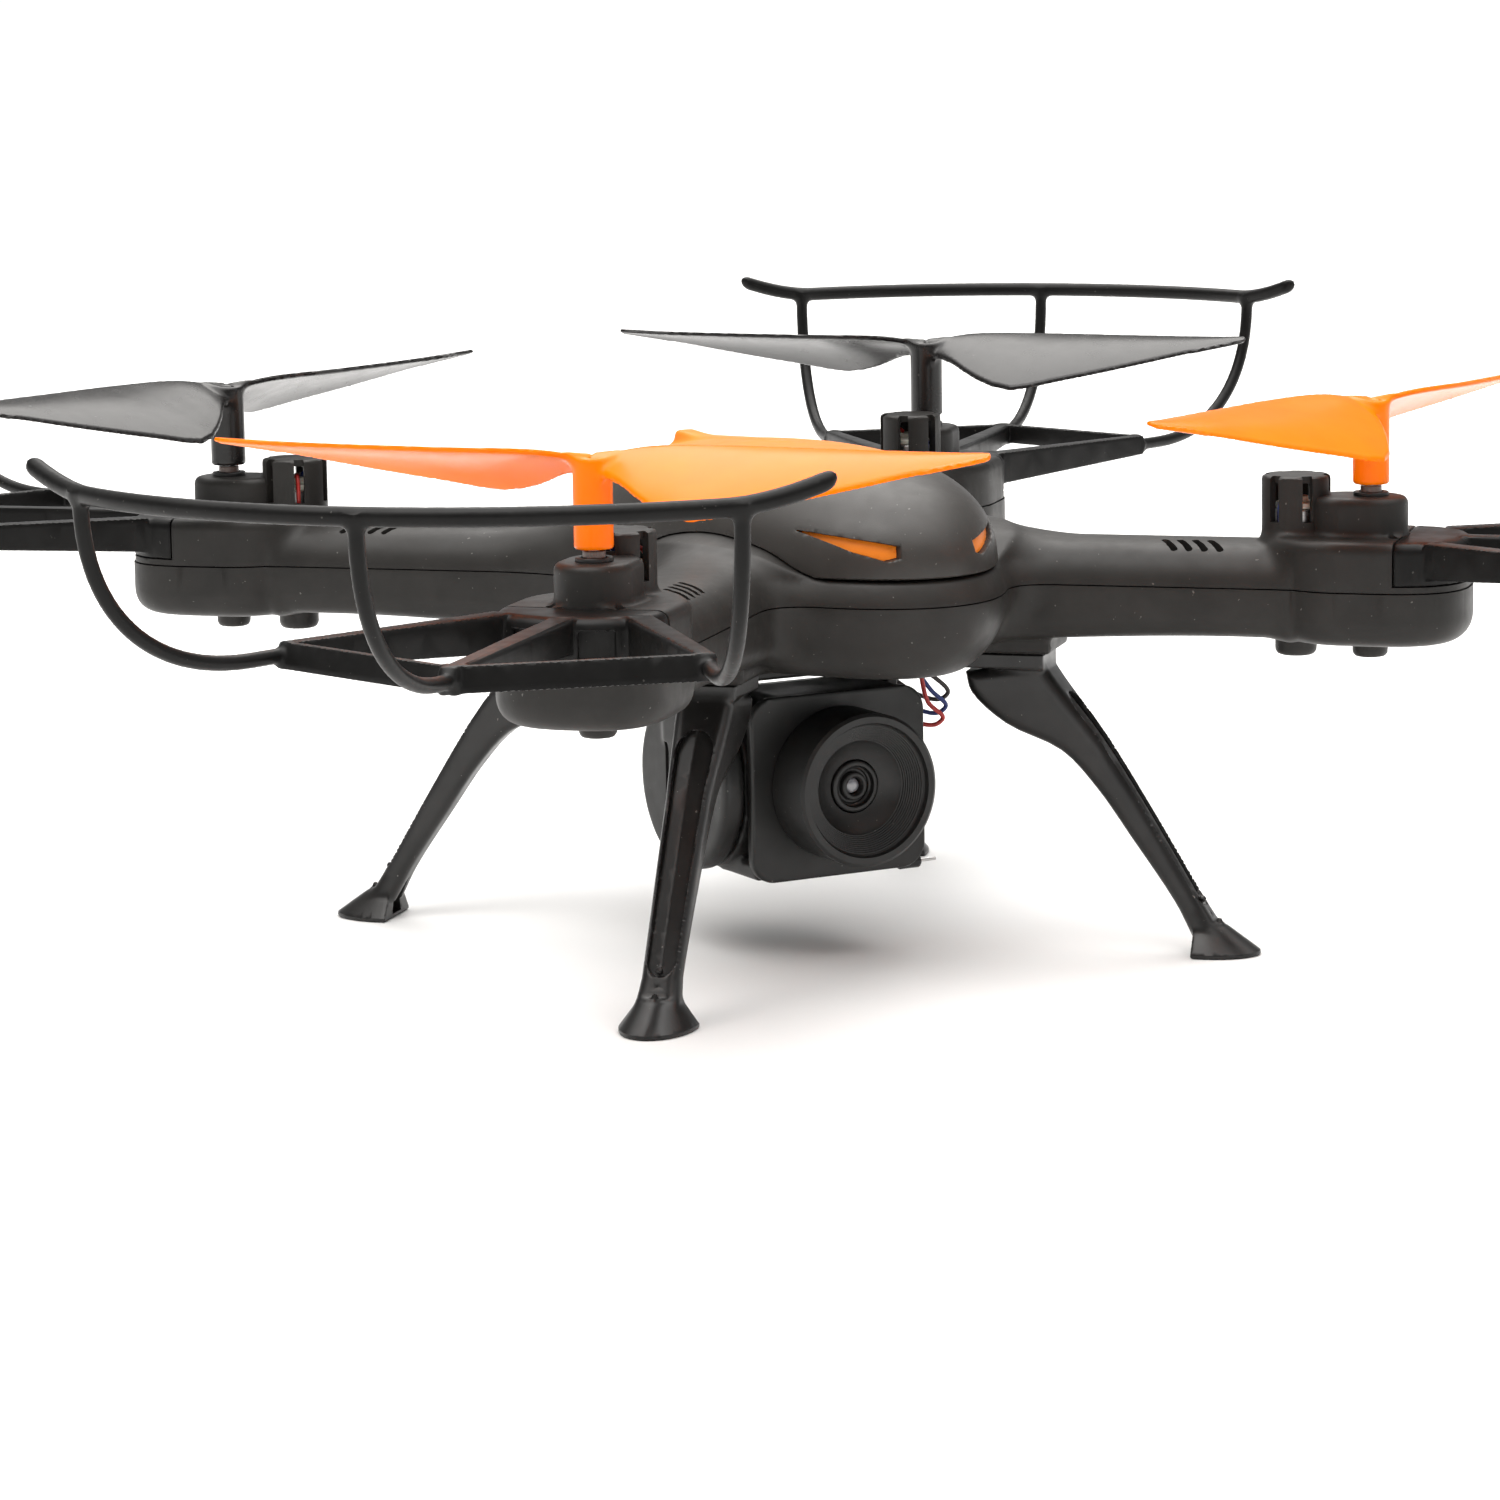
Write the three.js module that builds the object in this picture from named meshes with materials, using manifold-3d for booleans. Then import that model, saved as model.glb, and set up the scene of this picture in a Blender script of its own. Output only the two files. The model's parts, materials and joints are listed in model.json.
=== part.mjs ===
// A toy camera quadcopter: an X of four arms around an oval body, a geared rotor in a pod at the
// end of each arm, blade guards, curved landing legs and a tilting camera under the belly.
// Millimetres. The feet stand on z = 0, the origin is midway between them, the nose points to -Y.

import * as THREE from 'three';
import { mergeVertices } from 'three/addons/utils/BufferGeometryUtils.js';
import Module from 'manifold-3d';

const wasm = await Module();
wasm.setup();

// ---------------------------------------------------------------- driving dimensions
const GAP = 0.3; // left between pieces that touch
const WALL = 1.6; // moulded wall thickness
const SHAFT_REACH = 114.55; // rotor shaft from the middle, along the arm
const MOTOR_REACH = SHAFT_REACH - 14; // motor axis from the middle, along the arm
const SEAM_Z = 71.4; // where the upper and lower shells meet
const UPPER_Z = SEAM_Z + GAP / 2;
const LOWER_Z = SEAM_Z - GAP / 2;

const BODY = { halfWidth: 33, halfLength: 63.5, deckZ: 76.6, bellyZ: 57 };
const CANOPY = { halfWidth: 31, halfLength: 62, rimZ: BODY.deckZ + GAP, height: 20.1, peakY: -12 };
const CANOPY_WALL = 1.4;
const DOME_SQUARENESS = 2.4;

const POD = { halfWidth: 16, innerReach: 111, outerReach: 133.2, topZ: 80.7, bottomZ: 61.2 };
const POD_END_REACH = 117;
const POD_SQUARENESS = 2.6;
const BOSS = { radius: 7, topZ: 87.9 };
const TOWER = { radius: 6.3, topZ: 92.2, bore: 4.4, slots: 4 };
const SADDLE = { innerReach: 121.2, bottomZ: 72.9, thickness: 1.3 };

const SHAFT_RADIUS = 1;
const SHAFT_BORE = SHAFT_RADIUS + GAP;
const BUSHING_RADIUS = 2;
const COLLAR_BORE = BUSHING_RADIUS + GAP;
const PROPELLER = { radius: 70.5, hubRadius: 3.4, hubBottomZ: 90.6, hubTopZ: 107.6 };
const GEAR = { teeth: 48, tipRadius: 12.3, rootRadius: 11.45, bottomZ: 66, topZ: 68.6 };
const PINION = { teeth: 8, tipRadius: 2.3, rootRadius: 1.5, bottomZ: 65.2, topZ: 69.6 };
const MOTOR = { radius: 4, bottomZ: 72.2, topZ: 90.4, shaftRadius: 0.5 };

const GUARD = { centreReach: 145.4, radius: 79.8, barZ: 109.4, frameZ: 79.1, halfArc: 52.2 };
const LEG_TOP_Z = 57.5;
const LEG_PAD_Z = LEG_TOP_Z + GAP;

const CAMERA = { axisY: -3, axisZ: 33.5, drumRadius: 17.2, frontY: -19.3 };
const LENS = { frontY: -21.4, z: 33.4, radius: 14.7, cellRadius: 4.9 };
const CAMERA_PIN = { y: -17.6, z: 15.4, radius: 0.35, bossRadius: 1.3 };
const HATCH = { halfWidth: 13, frontY: 10, rearY: 45, thickness: 1.5 };
const SWITCH = { x: 18, y: 18, travel: 3 };

// Each arm: the direction it points in, the way its rotor turns (+1 is anticlockwise from above),
// the direction its blades lie in at rest, and the colour of its propeller.
const ARMS = [
  { name: 'front_left', heading: -135, spin: 1, bladeHeading: -48, propeller: 'orange' },
  { name: 'front_right', heading: -45, spin: -1, bladeHeading: 21, propeller: 'orange' },
  { name: 'rear_left', heading: 135, spin: -1, bladeHeading: 21, propeller: 'black' },
  { name: 'rear_right', heading: 45, spin: 1, bladeHeading: -48, propeller: 'black' },
];

// ---------------------------------------------------------------- materials
const finish = (color, roughness, metalness = 0) =>
  new THREE.MeshStandardMaterial({ color, roughness, metalness });
const MATERIALS = {
  shell: finish(0x2c2a28, 0.62),
  canopy: finish(0x302e2c, 0.58),
  orange: finish(0xff7a00, 0.3),
  amber: finish(0xf08a1c, 0.45),
  black: finish(0x191817, 0.25),
  guard: finish(0x1d1c1b, 0.5),
  leg: finish(0x1a1918, 0.4),
  camera: finish(0x1b1b1a, 0.5),
  glass: finish(0x8a8c90, 0.1),
  steel: finish(0xb8b8b8, 0.3, 1),
  brass: finish(0xc9a24a, 0.35, 1),
  nylon: finish(0xe8e4da, 0.5),
  board: finish(0x1c5a34, 0.5),
  cell: finish(0x9aa2ac, 0.4),
  red: finish(0xc02020, 0.45),
  blue: finish(0x26357a, 0.45),
  wireBlack: finish(0x222020, 0.45),
};

// ---------------------------------------------------------------- shape helpers
const radians = THREE.MathUtils.degToRad;
const range = (count) => Array.from({ length: count }, (_, i) => i);

// A closed geometry as a solid that can be joined and cut.
function solid(geometry) {
  const bare = geometry.clone();
  bare.deleteAttribute('normal');
  bare.deleteAttribute('uv');
  const merged = mergeVertices(bare, 1e-4);
  const mesh = new wasm.Mesh({
    numProp: 3,
    vertProperties: new Float32Array(merged.attributes.position.array),
    triVerts: new Uint32Array(merged.index.array),
  });
  return new wasm.Manifold(mesh);
}

function geometryOf(body) {
  const mesh = body.getMesh();
  const geometry = new THREE.BufferGeometry();
  geometry.setAttribute('position', new THREE.BufferAttribute(new Float32Array(mesh.vertProperties), 3));
  geometry.setIndex(new THREE.BufferAttribute(new Uint32Array(mesh.triVerts), 1));
  geometry.computeVertexNormals();
  return geometry;
}

const join = (...bodies) => bodies.reduce((sum, body) => sum.add(body));
const cut = (body, ...tools) => tools.reduce((rest, tool) => rest.subtract(tool), body);
const turned = (body, degrees) => body.rotate([0, 0, degrees]);
const onEachArm = (body) => ARMS.map((arm) => turned(body, arm.heading));

function signedVolume(positions, indices) {
  const corner = (i) => new THREE.Vector3().fromArray(positions, 3 * indices[i]);
  let volume = 0;
  for (let i = 0; i < indices.length; i += 3) {
    volume += corner(i).dot(corner(i + 1).cross(corner(i + 2)));
  }
  return volume;
}

// Skins a list of rings of equal point count, with a flat convex cap on each end.
function loft(rings) {
  const count = rings[0].length;
  const positions = rings.flat().flatMap((point) => [point.x, point.y, point.z]);
  const indices = [];
  for (let ring = 0; ring < rings.length - 1; ring += 1) {
    for (let i = 0; i < count; i += 1) {
      const here = ring * count + i;
      const next = ring * count + ((i + 1) % count);
      indices.push(here, next, next + count, here, next + count, here + count);
    }
  }
  const last = (rings.length - 1) * count;
  for (let i = 1; i < count - 1; i += 1) {
    indices.push(0, i + 1, i, last, last + i, last + i + 1);
  }
  if (signedVolume(positions, indices) < 0) {
    indices.reverse();
  }
  const geometry = new THREE.BufferGeometry();
  geometry.setAttribute('position', new THREE.Float32BufferAttribute(positions, 3));
  geometry.setIndex(indices);
  return geometry;
}

// A ring of points round an ellipse, at one height.
function ovalRing(halfX, halfY, z, count, centreY = 0) {
  return range(count).map((i) => {
    const angle = (2 * Math.PI * i) / count;
    return new THREE.Vector3(halfX * Math.cos(angle), centreY + halfY * Math.sin(angle), z);
  });
}

// A solid of revolution about +Z from [radius, z] points; the profile closes on the axis.
function revolve(profile, segments) {
  const points = profile.map(([radius, z]) => new THREE.Vector2(radius, z));
  return solid(new THREE.LatheGeometry(points, segments).rotateX(Math.PI / 2));
}

function cylinder(radius, bottom, top, segments) {
  return revolve([[0, bottom], [radius, bottom], [radius, top], [0, top]], segments);
}

// A cylinder between two X stations, for anything that turns on the camera's axis.
function crossCylinder(radius, fromX, toX, segments, y = CAMERA.axisY, z = CAMERA.axisZ) {
  return cylinder(radius, fromX, toX, segments).rotate([0, 90, 0]).translate([0, y, z]);
}

function box(x0, x1, y0, y1, z0, z1) {
  const geometry = new THREE.BoxGeometry(x1 - x0, y1 - y0, z1 - z0);
  return solid(geometry.translate((x0 + x1) / 2, (y0 + y1) / 2, (z0 + z1) / 2));
}

function prism(outline, bottom, top) {
  const shape = new THREE.Shape(outline.map(([x, y]) => new THREE.Vector2(x, y)));
  const geometry = new THREE.ExtrudeGeometry(shape, { depth: top - bottom, bevelEnabled: false });
  return solid(geometry.translate(0, 0, bottom));
}

function roundedRectangle(halfWidth, halfHeight, radius, cornerSteps) {
  const corners = [[1, 1, 0], [-1, 1, 90], [-1, -1, 180], [1, -1, 270]];
  return corners.flatMap(([signX, signY, start]) => range(cornerSteps + 1).map((i) => {
    const angle = radians(start + (90 * i) / cornerSteps);
    return [
      signX * (halfWidth - radius) + radius * Math.cos(angle),
      signY * (halfHeight - radius) + radius * Math.sin(angle),
    ];
  }));
}

// A round bar along a smooth path.
function bar(points, radius, steps, sides) {
  const section = new THREE.Shape(range(sides).map((i) => new THREE.Vector2(
    radius * Math.cos((2 * Math.PI * i) / sides), radius * Math.sin((2 * Math.PI * i) / sides))));
  const path = new THREE.CatmullRomCurve3(points.map((point) => new THREE.Vector3(...point)));
  return solid(new THREE.ExtrudeGeometry(section, { steps, extrudePath: path }));
}

// ---------------------------------------------------------------- the assembly
const drone = new THREE.Group();
const armGroups = ARMS.map((arm) => {
  const group = new THREE.Group();
  group.rotation.z = radians(arm.heading);
  drone.add(group);
  return group;
});

function addPiece(name, body, material, parent = drone) {
  const mesh = new THREE.Mesh(geometryOf(body), material);
  mesh.name = name;
  parent.add(mesh);
  return mesh;
}

// ---------------------------------------------------------------- airframe outlines
// The pod's plan: a round inner end about the motor and a squarer outer end past the shaft.
function podRing(inset, z) {
  const halfWidth = POD.halfWidth - inset;
  const outerLength = POD.outerReach - POD_END_REACH - inset;
  const arcSteps = 4;
  const outer = range(arcSteps + 1).map((i) => {
    const angle = radians(-90 + (180 * i) / arcSteps);
    const x = Math.cos(angle) ** (2 / POD_SQUARENESS) * outerLength;
    const y = Math.sign(angle) * Math.abs(Math.sin(angle)) ** (2 / POD_SQUARENESS) * halfWidth;
    return new THREE.Vector3(POD_END_REACH + (i % arcSteps === 0 ? 0 : x), y, z);
  });
  const inner = range(arcSteps + 1).map((i) => {
    const angle = radians(90 + (180 * i) / arcSteps);
    return new THREE.Vector3(
      POD.innerReach + halfWidth * Math.cos(angle), halfWidth * Math.sin(angle), z);
  });
  return [...outer, ...inner];
}

function podBlock(inset, bottom, top) {
  return solid(loft([podRing(inset, bottom), podRing(inset, top)]));
}

const podTop = (inset, bottom) => solid(loft([
  podRing(inset, bottom),
  podRing(inset, POD.topZ - inset - 1.4),
  podRing(inset + 1.4, POD.topZ - inset),
]));
const podBottom = (inset, top) => solid(loft([
  podRing(inset + 2.6, POD.bottomZ + inset),
  podRing(inset + 0.6, POD.bottomZ + inset + 1.6),
  podRing(inset, POD.bottomZ + inset + 4),
  podRing(inset, top),
]));

// The arm's stations: reach, half width, top and bottom heights.
const ARM_STATIONS = [
  { reach: 10, halfWidth: 19, top: 83.5, bottom: 59.6 },
  { reach: 26, halfWidth: 19, top: 83.5, bottom: 59.8 },
  { reach: 36, halfWidth: 15.5, top: 82, bottom: 60.2 },
  { reach: 52, halfWidth: 13, top: 79.4, bottom: 61 },
  { reach: 72, halfWidth: 12.4, top: 79, bottom: 61.5 },
  { reach: MOTOR_REACH, halfWidth: 12.8, top: 78.8, bottom: 61.8 },
];

// Half of the arm, above or below the seam, with its long edges rounded off.
function armHalf(inset, above, seamZ) {
  const rings = ARM_STATIONS.map((station) => {
    const half = station.halfWidth - inset;
    const faceZ = above ? station.top - inset : station.bottom + inset;
    const inward = above ? -1 : 1;
    const outline = [
      [half, seamZ],
      [half, faceZ + 4.2 * inward],
      [half - 1.8, faceZ + 1.4 * inward],
      [half - 5, faceZ],
    ];
    const mirrored = outline.map(([y, z]) => [-y, z]).reverse();
    return [...outline, ...mirrored].map(([y, z]) => new THREE.Vector3(station.reach, y, z));
  });
  return solid(loft(rings));
}

const BODY_SEGMENTS = 22;
const bodyRings = (stations, inset) => stations.map(([narrowing, z]) => ovalRing(
  BODY.halfWidth - inset - narrowing, BODY.halfLength - inset - narrowing, z, BODY_SEGMENTS));

function bodyTop(inset, bottom) {
  return solid(loft(bodyRings([
    [0, bottom],
    [0.4, BODY.deckZ - inset - 2.2],
    [2, BODY.deckZ - inset],
  ], inset)));
}

function bodyBottom(inset, top) {
  const floor = BODY.bellyZ + inset;
  return solid(loft(bodyRings([
    [9, floor],
    [4.8, floor + 2],
    [1.8, floor + 6],
    [0.3, floor + 11],
    [0, top],
  ], inset)));
}

function dome(inset, bottom) {
  const steps = 5;
  const height = CANOPY.rimZ + CANOPY.height - inset - bottom;
  const rings = range(steps).map((i) => {
    const angle = radians((82 * i) / (steps - 1));
    const spread = Math.cos(angle) ** (2 / DOME_SQUARENESS);
    const rise = Math.sin(angle) ** (2 / DOME_SQUARENESS);
    return ovalRing(
      (CANOPY.halfWidth - inset) * spread, (CANOPY.halfLength - inset) * spread,
      bottom + height * rise, BODY_SEGMENTS, CANOPY.peakY * (1 - spread));
  });
  return solid(loft(rings));
}

// ---------------------------------------------------------------- upper shell
const motorWindow = (index) => turned(
  box(TOWER.bore - 0.5, TOWER.radius + 1.7, -0.9, 0.9, 84.4, TOWER.topZ + 1),
  45 + (360 / TOWER.slots) * index,
);

function saddleSpace(clearance) {
  const bottom = SADDLE.bottomZ - clearance;
  const outer = podBlock(-1, bottom, POD.topZ + 1);
  const core = podBlock(SADDLE.thickness + clearance, bottom - 1, POD.topZ - SADDLE.thickness - clearance);
  const reach = SADDLE.innerReach - clearance;
  return cut(outer, core, box(0, reach, -30, 30, 50, 100));
}

function makeUpperShell() {
  const armOutside = join(
    armHalf(0, true, UPPER_Z),
    podTop(0, UPPER_Z),
    cylinder(BOSS.radius, 78, BOSS.topZ, 14).translate([SHAFT_REACH, 0, 0]),
    cylinder(TOWER.radius, 78, TOWER.topZ, 12).translate([MOTOR_REACH, 0, 0]),
  );
  const armInside = join(armHalf(WALL, true, UPPER_Z - 1), podTop(WALL, UPPER_Z - 1));
  const windows = range(TOWER.slots).map((i) => motorWindow(i).translate([MOTOR_REACH, 0, 0]));
  const armCuts = [
    armInside,
    cylinder(TOWER.bore, 70, TOWER.topZ - 1.3, 12).translate([MOTOR_REACH, 0, 0]),
    cylinder(BUSHING_RADIUS + GAP, 70, 100, 10).translate([SHAFT_REACH, 0, 0]),
    saddleSpace(GAP),
    ...windows,
  ];
  const outside = join(bodyTop(0, UPPER_Z), ...onEachArm(armOutside));
  const deckOpening = solid(loft(
    [UPPER_Z - 1, 90].map((z) => ovalRing(20, 46, z, BODY_SEGMENTS))));
  const cuts = [bodyTop(WALL, UPPER_Z - 1), deckOpening, ...armCuts.flatMap(onEachArm)];
  return cut(outside, ...cuts);
}

// ---------------------------------------------------------------- lower shell
const BOARD_POSTS = [[-12, -34], [12, -34], [-12, -4], [12, -4]];
const BOARD_Z = 72.6;

function makeLowerShell() {
  const pad = box(35, 55, -8, 8, LEG_PAD_Z, 63);
  const shaftFoot = revolve(
    [[0, 57.6], [2.6, 57.6], [3.2, 58.2], [3.2, 64.2], [0, 64.2]], 10).translate([SHAFT_REACH, 0, 0]);
  const motorFoot = revolve(
    [[0, 57.6], [3.2, 57.6], [3.9, 58.3], [3.9, 62.6], [0, 62.6]], 10).translate([MOTOR_REACH, 0, 0]);
  const armOutside = join(armHalf(0, false, LOWER_Z), podBottom(0, LOWER_Z), pad);
  const armInside = join(armHalf(WALL, false, LOWER_Z + 1), podBottom(WALL, LOWER_Z + 1));
  const shaftPocket = cylinder(SHAFT_BORE, 58.9, 70, 8).translate([SHAFT_REACH, 0, 0]);
  const outside = join(bodyBottom(0, LOWER_Z), ...onEachArm(armOutside));
  const hollow = cut(outside, bodyBottom(WALL, LOWER_Z + 1), ...onEachArm(armInside));
  const posts = BOARD_POSTS.map(([x, y]) =>
    cylinder(2, BODY.bellyZ + 0.5, BOARD_Z - GAP, 8).translate([x, y, 0]));
  const feet = [shaftFoot, motorFoot].flatMap(onEachArm);
  const openings = [
    box(-HATCH.halfWidth - GAP, HATCH.halfWidth + GAP, HATCH.frontY - GAP, HATCH.rearY + GAP, 50, 60),
    box(SWITCH.x - 1.3, SWITCH.x + 1.3, SWITCH.y - 2.3, SWITCH.y + SWITCH.travel + 2.3, 50, 60),
    ...[-2.5, 0, 2.5].map((y) => cylinder(0.8, 50, 62, 8).translate([WIRE_EXIT_X, y - 10, 0])),
  ];
  const screwWell = cylinder(2.2, 50, BODY.bellyZ + 0.8, 12).translate([-12, -40, 0]);
  return cut(join(hollow, ...posts, ...feet), ...openings, screwWell, ...onEachArm(shaftPocket));
}

// ---------------------------------------------------------------- canopy and its orange insert
// The eye seen from the front as [x, z]; the dorsal panel seen from above as [x, y].
const EYE_OUTLINE = [
  [20, 86], [15.5, 85.3], [10.5, 84.3], [6.6, 83.4], [7, 81.2], [8.5, 80.4], [11.5, 80.8], [15.7, 82.5],
];
const DORSAL_OUTLINE = [
  [0, -28], [13, -27], [21.5, -24.5], [25, -18], [26.4, -8], [26.2, 8], [23, 24], [16, 40],
  [-16, 40], [-23, 24], [-26.2, 8], [-26.4, -8], [-25, -18], [-21.5, -24.5], [-13, -27],
];
const scaledOutline = (outline, amount) => outline.map(([x, y]) => [x * amount, y * amount]);
const flipped = (outline) => outline.map(([x, y]) => [-x, y]).reverse();
const armClearance = () => onEachArm(armHalf(-GAP, true, SEAM_Z - 4));

function makeCanopy() {
  const shell = cut(dome(0, CANOPY.rimZ), dome(CANOPY_WALL, CANOPY.rimZ - 0.5));
  const dorsal = prism(DORSAL_OUTLINE, 60, 120);
  const eyes = [EYE_OUTLINE, flipped(EYE_OUTLINE)].map(
    (outline) => prism(outline, 38, 64).rotate([90, 0, 0]));
  return cut(shell, dorsal, ...eyes, ...armClearance());
}

function makeCanopyInsert() {
  const inset = CANOPY_WALL + GAP;
  const front = box(-40, 40, -70, -16, 79, 100);
  const liner = cut(dome(inset, CANOPY.rimZ), dome(inset + 1.2, CANOPY.rimZ - 0.5)).intersect(front);
  const panel = cut(
    dome(0, CANOPY.rimZ).intersect(prism(scaledOutline(DORSAL_OUTLINE, 0.98), 60, 120)),
    dome(inset + 1, CANOPY.rimZ - 0.5),
  );
  const crest = solid(loft([
    { y: 0, half: 0.6, top: 96.2 },
    { y: 18, half: 1.4, top: 95.6 },
    { y: 30, half: 1.9, top: 95.5 },
    { y: 40, half: 2.2, top: 96 },
  ].map(({ y, half, top }) => [
    [half + 1, 89], [half, top - 1], [half * 0.4, top],
    [-half * 0.4, top], [-half, top - 1], [-half - 1, 89],
  ].map(([x, z]) => new THREE.Vector3(x, y, z)))));
  const underside = dome(inset + 1, CANOPY.rimZ - 0.5);
  return cut(join(liner, panel, cut(crest, underside)), ...armClearance());
}

// ---------------------------------------------------------------- things inside and under the body
function makeHatch() {
  const bottom = BODY.bellyZ;
  const leaf = box(
    -HATCH.halfWidth, HATCH.halfWidth, HATCH.frontY, HATCH.rearY, bottom, bottom + HATCH.thickness);
  const catchTab = box(-4, 4, HATCH.frontY, HATCH.frontY + 1.5, bottom, bottom + 3);
  return join(leaf, catchTab);
}

function makePowerSwitch() {
  const stem = box(SWITCH.x - 1, SWITCH.x + 1, SWITCH.y - 2, SWITCH.y + 2, BODY.bellyZ - 1.1, 59.6);
  const slider = box(SWITCH.x - 2.4, SWITCH.x + 2.4, SWITCH.y - 3, SWITCH.y + 3, 59.2, 60.8);
  return join(stem, slider);
}

function makeCircuitBoard() {
  const board = box(-15, 15, -37, 0, BOARD_Z, BOARD_Z + 1.2);
  const radio = box(-5, 5, -30, -20, BOARD_Z + 1, BOARD_Z + 2.4);
  const connector = box(-11, -5, -9, -2, BOARD_Z + 1, BOARD_Z + 3.6);
  return join(board, radio, connector);
}

// ---------------------------------------------------------------- camera
const BRACKET = { leftX: -24.3, leftInnerX: -19.6, rightInnerX: 17.2, rightX: 19.6, plateZ: 53.4 };
const PIVOT_RADIUS = 2;

function makeCameraBracket() {
  const roof = box(
    BRACKET.leftX, BRACKET.rightX, -16.5, 4, BRACKET.plateZ, BODY.bellyZ - GAP);
  const cheek = crossCylinder(17.5, BRACKET.leftX, BRACKET.leftInnerX, 32);
  const cheekNeck = box(BRACKET.leftX, BRACKET.leftInnerX, -14, 4, 44, BRACKET.plateZ + 1);
  const support = crossCylinder(8, BRACKET.rightInnerX, BRACKET.rightX, 16);
  const supportNeck = box(
    BRACKET.rightInnerX, BRACKET.rightX, -10.5, 4, CAMERA.axisZ, BRACKET.plateZ + 1);
  const bore = crossCylinder(PIVOT_RADIUS + GAP, -22.6, 30, 12);
  const coinSlot = box(BRACKET.leftX - 1, BRACKET.leftX + 0.8, 2.2, 3.4, 27, 40);
  return cut(join(roof, cheek, cheekNeck, support, supportNeck), bore, coinSlot);
}

function makeCameraHousing() {
  const drum = crossCylinder(CAMERA.drumRadius, BRACKET.leftInnerX + GAP, BRACKET.rightInnerX - GAP, 32);
  const nose = box(-13, BRACKET.rightInnerX - GAP, CAMERA.frontY, CAMERA.axisY, 15.8, 50.4);
  const stop = crossCylinder(CAMERA_PIN.bossRadius, 15, 19.6, 10, CAMERA_PIN.y, CAMERA_PIN.z);
  const hollow = crossCylinder(CAMERA.drumRadius - 2, -17, 14.6, 20);
  const lensWell = box(-11, 13, -25, CAMERA.axisY, 21, 46);
  const bore = crossCylinder(PIVOT_RADIUS + GAP, -30, 30, 12);
  const flatFront = box(-30, 30, -30, CAMERA.frontY, 0, 60);
  return cut(join(drum, nose, stop), hollow, lensWell, bore, flatFront);
}

function makeCameraPlate() {
  const plate = prism(roundedRectangle(19, 17.8, 5, 4), 0, 1.8);
  const window = cylinder(8, -1, 3, 20);
  return cut(plate, window).rotate([90, 0, 0]).translate([0, CAMERA.frontY - GAP, 33]);
}

// Everything round about the lens is a profile of [radius, distance in front of the plate].
function onLensAxis(profile, segments) {
  return revolve(profile, segments).rotate([90, 0, 0]).translate([0, LENS.frontY, LENS.z]);
}

function makeLensBarrel() {
  return onLensAxis([
    [5.2, GAP], [LENS.radius, GAP], [LENS.radius, 11.4], [14.2, 11.8], [12.9, 11.8],
    [12.5, 10.6], [7.8, 6.2], [7.4, 5.4], [5.2, 5.4], [5.2, GAP],
  ], 28);
}

function makeLensCell() {
  return onLensAxis([
    [1.7, 1], [LENS.cellRadius, 1], [LENS.cellRadius, 6.4], [3.9, 6.4], [3.6, 5.2],
    [2.8, 5.2], [2.5, 6.2], [1.7, 6.2], [1.7, 1],
  ], 16);
}

const WIRE_EXIT_X = 21.2;
const wireRoute = (exitY, reach, low) => [
  [WIRE_EXIT_X, exitY, 59.4],
  [WIRE_EXIT_X + 0.1, exitY, 56.6],
  [WIRE_EXIT_X + 1.5, exitY - 0.6, 53.2],
  [reach - 3.4, exitY - 1.2, low + 4.8],
  [reach, exitY - 1.2, low + 1.4],
  [reach - 1.4, exitY - 0.4, low],
  [reach - 5, exitY + 1.6, low + 0.9],
  [BRACKET.rightX + GAP, -4 + (exitY + 10) * 0.6, low + 6.4],
];

// ---------------------------------------------------------------- rotors
// One blade as sections across it: the leading edge side is +Y. Heights are under the hub's top.
const BLADE = [
  { reach: 2.4, lead: 2, trail: -2.4, leadDrop: 1.2, trailDrop: 4 },
  { reach: 8, lead: 4.5, trail: -7.5, leadDrop: 0.3, trailDrop: 5 },
  { reach: 15, lead: 5.8, trail: -13.5, leadDrop: 0, trailDrop: 7.6 },
  { reach: 24, lead: 6.2, trail: -18.5, leadDrop: 0, trailDrop: 9.4 },
  { reach: 32, lead: 5.6, trail: -16.4, leadDrop: 0, trailDrop: 8 },
  { reach: 46, lead: 4.2, trail: -11.2, leadDrop: 0, trailDrop: 5.2 },
  { reach: 60, lead: 2.6, trail: -5.8, leadDrop: -0.1, trailDrop: 2.2 },
  { reach: PROPELLER.radius, lead: 0.4, trail: -0.9, leadDrop: -0.3, trailDrop: 0.1 },
];

function bladeRing({ reach, lead, trail, leadDrop, trailDrop }) {
  const camber = 0.07 * (lead - trail);
  const half = 0.5;
  const at = (share, lift) => new THREE.Vector3(
    reach,
    THREE.MathUtils.lerp(lead, trail, share),
    PROPELLER.hubTopZ - THREE.MathUtils.lerp(leadDrop, trailDrop, share) + lift,
  );
  return [
    at(0, 0), at(0.3, camber * 0.8 + half), at(0.7, camber * 0.8 + half),
    at(1, 0), at(0.7, camber * 0.8 - half), at(0.3, camber * 0.8 - half),
  ];
}

function makePropeller(spin) {
  const blade = solid(loft(BLADE.map(bladeRing)));
  const hub = revolve([
    [0, PROPELLER.hubBottomZ], [PROPELLER.hubRadius, PROPELLER.hubBottomZ],
    [PROPELLER.hubRadius, PROPELLER.hubTopZ - 0.6], [2.6, PROPELLER.hubTopZ], [0, PROPELLER.hubTopZ],
  ], 16);
  const bore = cylinder(SHAFT_BORE, 80, 104.5, 10);
  const whole = cut(join(hub, blade, turned(blade, 180)), bore);
  return spin > 0 ? whole : whole.mirror([0, 1, 0]);
}

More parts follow.
